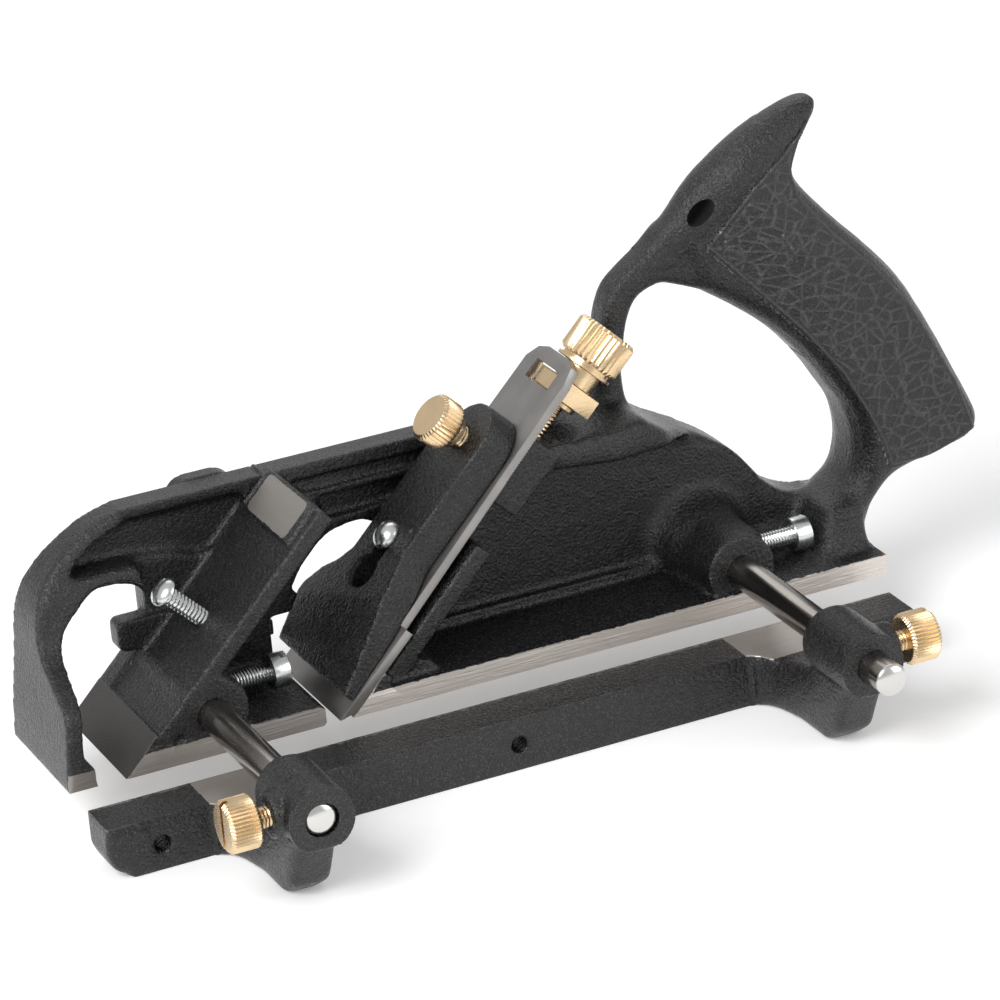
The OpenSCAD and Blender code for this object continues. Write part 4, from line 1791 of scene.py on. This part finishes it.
@dataclass
class RebatePlane:
    """The whole plane: its finishes and its pieces in order."""

    brass: Metal = Metal("yellow brass", Slot.BRASS, (0.90, 0.68, 0.42), (0.2, 0.34), (300.0, 300.0, 1400.0),
                         bump=0.1)
    zinc: Metal = Metal("zinc plate", Slot.ZINC, (0.72, 0.74, 0.74), (0.18, 0.34), (400.0, 400.0, 400.0),
                        bump=0.05)
    rod_steel: Metal = Metal("drawn steel", Slot.ROD_STEEL, (0.34, 0.315, 0.29), (0.16, 0.28),
                             (2200.0, 60.0, 2200.0), bump=0.05)
    tool_steel: Metal = Metal("ground tool steel", Slot.BLADE_STEEL, (0.36, 0.345, 0.335), (0.34, 0.5),
                              (80.0, 2200.0, 80.0), turn=BED_SLOPE, grain=0.4)
    rod_bores: Tuple[Bore, ...] = tuple(Bore((rod.x, 0, ROD_HEIGHT), (0, 1, 0), ROD_BORE) for rod in RODS)

    def body(self) -> BodyCasting:
        """The main casting: its ground faces, bores, bare patches and softer parts.

        Returns:
            The casting, not yet built.
        """
        slope = math.cos(BED_SLOPE)
        bed = (-slope, 0, slope)
        side = HALF_WIDTH - 0.25
        flats = (
            Flat((0, 0, 0), (0, 0, -1), region(z=(-50, 2))),
            Flat((0, -HALF_WIDTH, 0), (0, -1, 0), region(x=(9, 300), y=(-30, 0), z=(-5, 5.4))),
            Flat((0, HALF_WIDTH, 0), (0, 1, 0)),
            Flat((BULLNOSE_BED, 0, 0), bed, region(x=(12, 23.6), y=ACROSS, z=(-2, 9))),
            Flat((BULLNOSE_BED, 0, 0), bed, region(x=(61, 72), y=ACROSS, z=(46, 56))),
            Flat((MAIN_BED, 0, 0), bed, region(x=(70, 82), y=ACROSS, z=(-2, 10))),
            Flat((2 * HALF_LENGTH, 0, 0), (1, 0, 0), region(z=(-50, 5.4))),
            Flat((65.2, 0, 0), (1, 0, 0), region(x=(60, 70), y=ACROSS, z=(-2, 5.4))),
        )
        set_places = [(rod.x, rod.set_line, ROD_HEIGHT) for rod in RODS]
        set_bores = tuple(Bore(place, (1, 0, 0), 2.6, span=(5.0, 12.0)) for place in set_places)
        patches = (
            Patch((-5, -30, -5), (300, 30, 0.25)),
            # The near side's ground strip in two tones: lighter toward the heel as painted reflection of the
            # pale floor, darker at the front.
            Patch((9, -30, -5), (66, -side, 5.05), tone=0.8),
            Patch((66, -30, -5), (300, -side, 5.05), tone=1.5),
            Patch((-5, -30, -5), (9, -17.6, 4.2), tone=0.55),
            Patch((-5, side, -5), (300, 30, 22)),
            Patch((-1, -19.3, -0.25), (12.4, 19.3, 2), bed=BULLNOSE_BED, tone=0.2),
            Patch((66.0, -13.6, -0.25), (76.0, 9.4, 2), bed=BULLNOSE_BED, tone=0.66, corner=1.6),
            Patch((-1, -30, -0.3), (13, 30, 2), bed=MAIN_BED),
        )
        handle = (region(x=(150, 300), z=(54, 200)), region(x=(206, 300), z=(14, 200)))
        horn = region(x=(168, 206), z=(82, 113))
        shoulder = region(x=(124, 186), y=(-150, 15), z=(33, 60))
        nose_top = region(x=(6, 66), y=(-150, 15.5), z=(34.5, 51.5))
        handle_foot = region(x=(194, 300), z=(5.6, 22))
        rear_boss = region(x=(REAR_ROD.x - 20, REAR_ROD.x + 20), y=(-12, 150), z=(5.6, 30))
        softs = (
            Soft(handle, 60, swell=0.4),
            Soft((horn,), 80, swell=0.35, slant=(-1000, 93)),
            Soft((shoulder,), 150, slant=(85.5, 1000)),
            Soft((nose_top,), 45, slant=(-1000, 13.6)),
            Soft((handle_foot,), 120),
            Soft((rear_boss,), 50),
        )
        finish = Enamel("body enamel", patches, bore=True)
        return BodyCasting("body", "body_casting", "plane", finish, flats=flats,
                           bores=self.rod_bores + set_bores, softs=softs)

    def fence(self) -> Casting:
        """The fence: its ground faces, bores, bare patches and softer parts.

        Returns:
            The casting, not yet built.
        """
        flats = (
            Flat((0, 0, -1), (0, 0, 1), region(y=(-45, -20), z=(-3, 3))),
            Flat((0, FENCE_FACE, 0), (0, 1, 0), region(y=(-30, -20), z=(-30, 5))),
            Flat((0, 0, FENCE_FOOT), (0, 0, -1), region(y=(-40, -20), z=(-18, -12))),
            Flat((0, -83, 0), (0, -1, 0), region(y=(-90, -80), z=(3, 20))),
        )
        patches = (
            Patch((27, -45, -1.3), (46, -20, 3)),
            Patch((165, -45, -1.3), (186, -20, 3)),
            Patch((-5, FENCE_FACE - 0.2, -20), (300, -20, 5)),
        )
        arms = region(y=(-150, -40.5), z=(-50, 3.5))
        bar_end = region(x=(-50, 12), z=(-50, -2.5))
        softs = (Soft((arms,), 110, swell=0.35), Soft((bar_end,), 100, swell=0.3))
        return Casting("fence", "fence_casting", "fence", Enamel("fence enamel", patches), voxel=0.45,
                       flats=flats, bores=self.rod_bores, softs=softs, triangles=150000)

    def pieces(self) -> List[Any]:
        """List every piece in order.

        Returns:
            The pieces, not yet built.
        """
        fine = {"voxel": 0.4, "ripple": 0.05, "ripple_size": 3.0}
        cap, stop = Enamel("lever cap enamel"), Enamel("depth stop enamel")
        return [
            self.body(),
            Casting("lever_cap", "lever_cap_casting", "lever_cap", cap, triangles=90000, **fine),
            self.fence(),
            Casting("depth_stop", "depth_stop_casting", "depth_stop", stop, passes=10, triangles=60000,
                    **fine),
            Cutter("blade", "cutter", "cutter", self.tool_steel, edge=0.15),
            Ground("adjuster_slide", "adjuster_slide_block", "cutter", self.brass, edge=0.35, segments=3),
            Ground("depth_stop_washer", "depth_stop_washer_ring", "depth_stop_thumbscrew", self.zinc,
                   edge=0.2),
            Ground("spur", "spur_nicker", "spur", self.tool_steel, edge=0.15),
            AdjusterNut(self.brass),
            AdjusterStud(self.brass),
            *(Rod(place, self.rod_steel) for place in RODS),
            *self.screws(),
        ]

    def screws(self) -> List[Screw]:
        """List every screw and thumbscrew with its place.

        Returns:
            The screws, not yet built.
        """
        away = turned(-90, "X")
        cap_thumb = on_bed(MAIN_BED, 68.0, IRON_OFFSET, 0.0)
        cap_screw = on_bed(MAIN_BED, 39.0, IRON_OFFSET, 0.0) @ turned(35, "Z")
        bullnose = on_bed(BULLNOSE_BED, 39.5, IRON_OFFSET, 0.0) @ turned(20, "Z")
        collar = ((0.0, 12.5), (3.8, 12.5), (4.0, 12.7), (4.0, 15.0), (0.0, 15.0))
        made = [
            Screw("lever_cap_thumbscrew", self.brass, cap_thumb, thread=6.0, tip=2.5, neck=14.7, head=12.4,
                  top=21.0, form=HeadForm.KNURLED, flutes=34, collar=collar, pitch=0.9),
            Screw("lever_cap_screw", self.zinc, cap_screw, thread=4.8, tip=-11.0, neck=11.0, head=7.6,
                  top=13.9, form=HeadForm.ROUND, slot_width=1.1, slot_depth=1.3),
            Screw("bullnose_screw", self.zinc, bullnose, thread=4.6, tip=-9.0, neck=10.6, head=7.4,
                  top=13.0, form=HeadForm.ROUND, slot_width=1.1, slot_depth=1.2, pitch=1.1),
        ]
        for rod in RODS:
            place = station(rod.x, rod.set_line, ROD_HEIGHT) @ turned(90, "Y") @ turned(rod.set_turn, "Z")
            made.append(Screw("rod_set_screw_" + rod.end, self.zinc, place, thread=5.0, tip=ROD_BORE,
                              neck=19.6, head=8.5, top=24.2, slot_width=1.3, slot_depth=1.8))
        for rod in RODS:
            place = station(rod.x, HUB_LINE, ROD_HEIGHT) @ turned(rod.lean, "Y")
            made.append(Screw("fence_thumbscrew_" + rod.end, self.brass, place, thread=5.0, tip=ROD_BORE,
                              neck=12.6, head=12.5, top=20.2, form=HeadForm.KNURLED, slot_width=1.4,
                              slot_depth=1.8, flutes=40))
        made += [
            Screw("depth_stop_thumbscrew", self.brass, station(54.5, 0.0, 36.0) @ away, thread=6.0, tip=15.5,
                  neck=24.8, head=12.5, top=31.3, form=HeadForm.KNURLED, flutes=40),
            Screw("spur_screw", self.zinc, station(59.0, 0.0, 6.0) @ away, thread=4.0, tip=13.5, neck=18.1,
                  head=6.4, top=18.9, slot_width=1.0, slot_depth=0.5, pitch=0.7),
        ]
        return made

    def build(self) -> None:
        """Build and dress every piece."""
        for maker in self.pieces():
            piece = maker.build()
            maker.dress(piece)


def main() -> None:
    """Load the frame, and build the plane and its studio."""
    logging.basicConfig(level=logging.INFO, format="%(name)s %(message)s")
    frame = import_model()
    Bench.nodes = frame["nodes"]
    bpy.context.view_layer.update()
    Studio().build()
    RebatePlane().build()


if __name__ == "__main__":
    main()
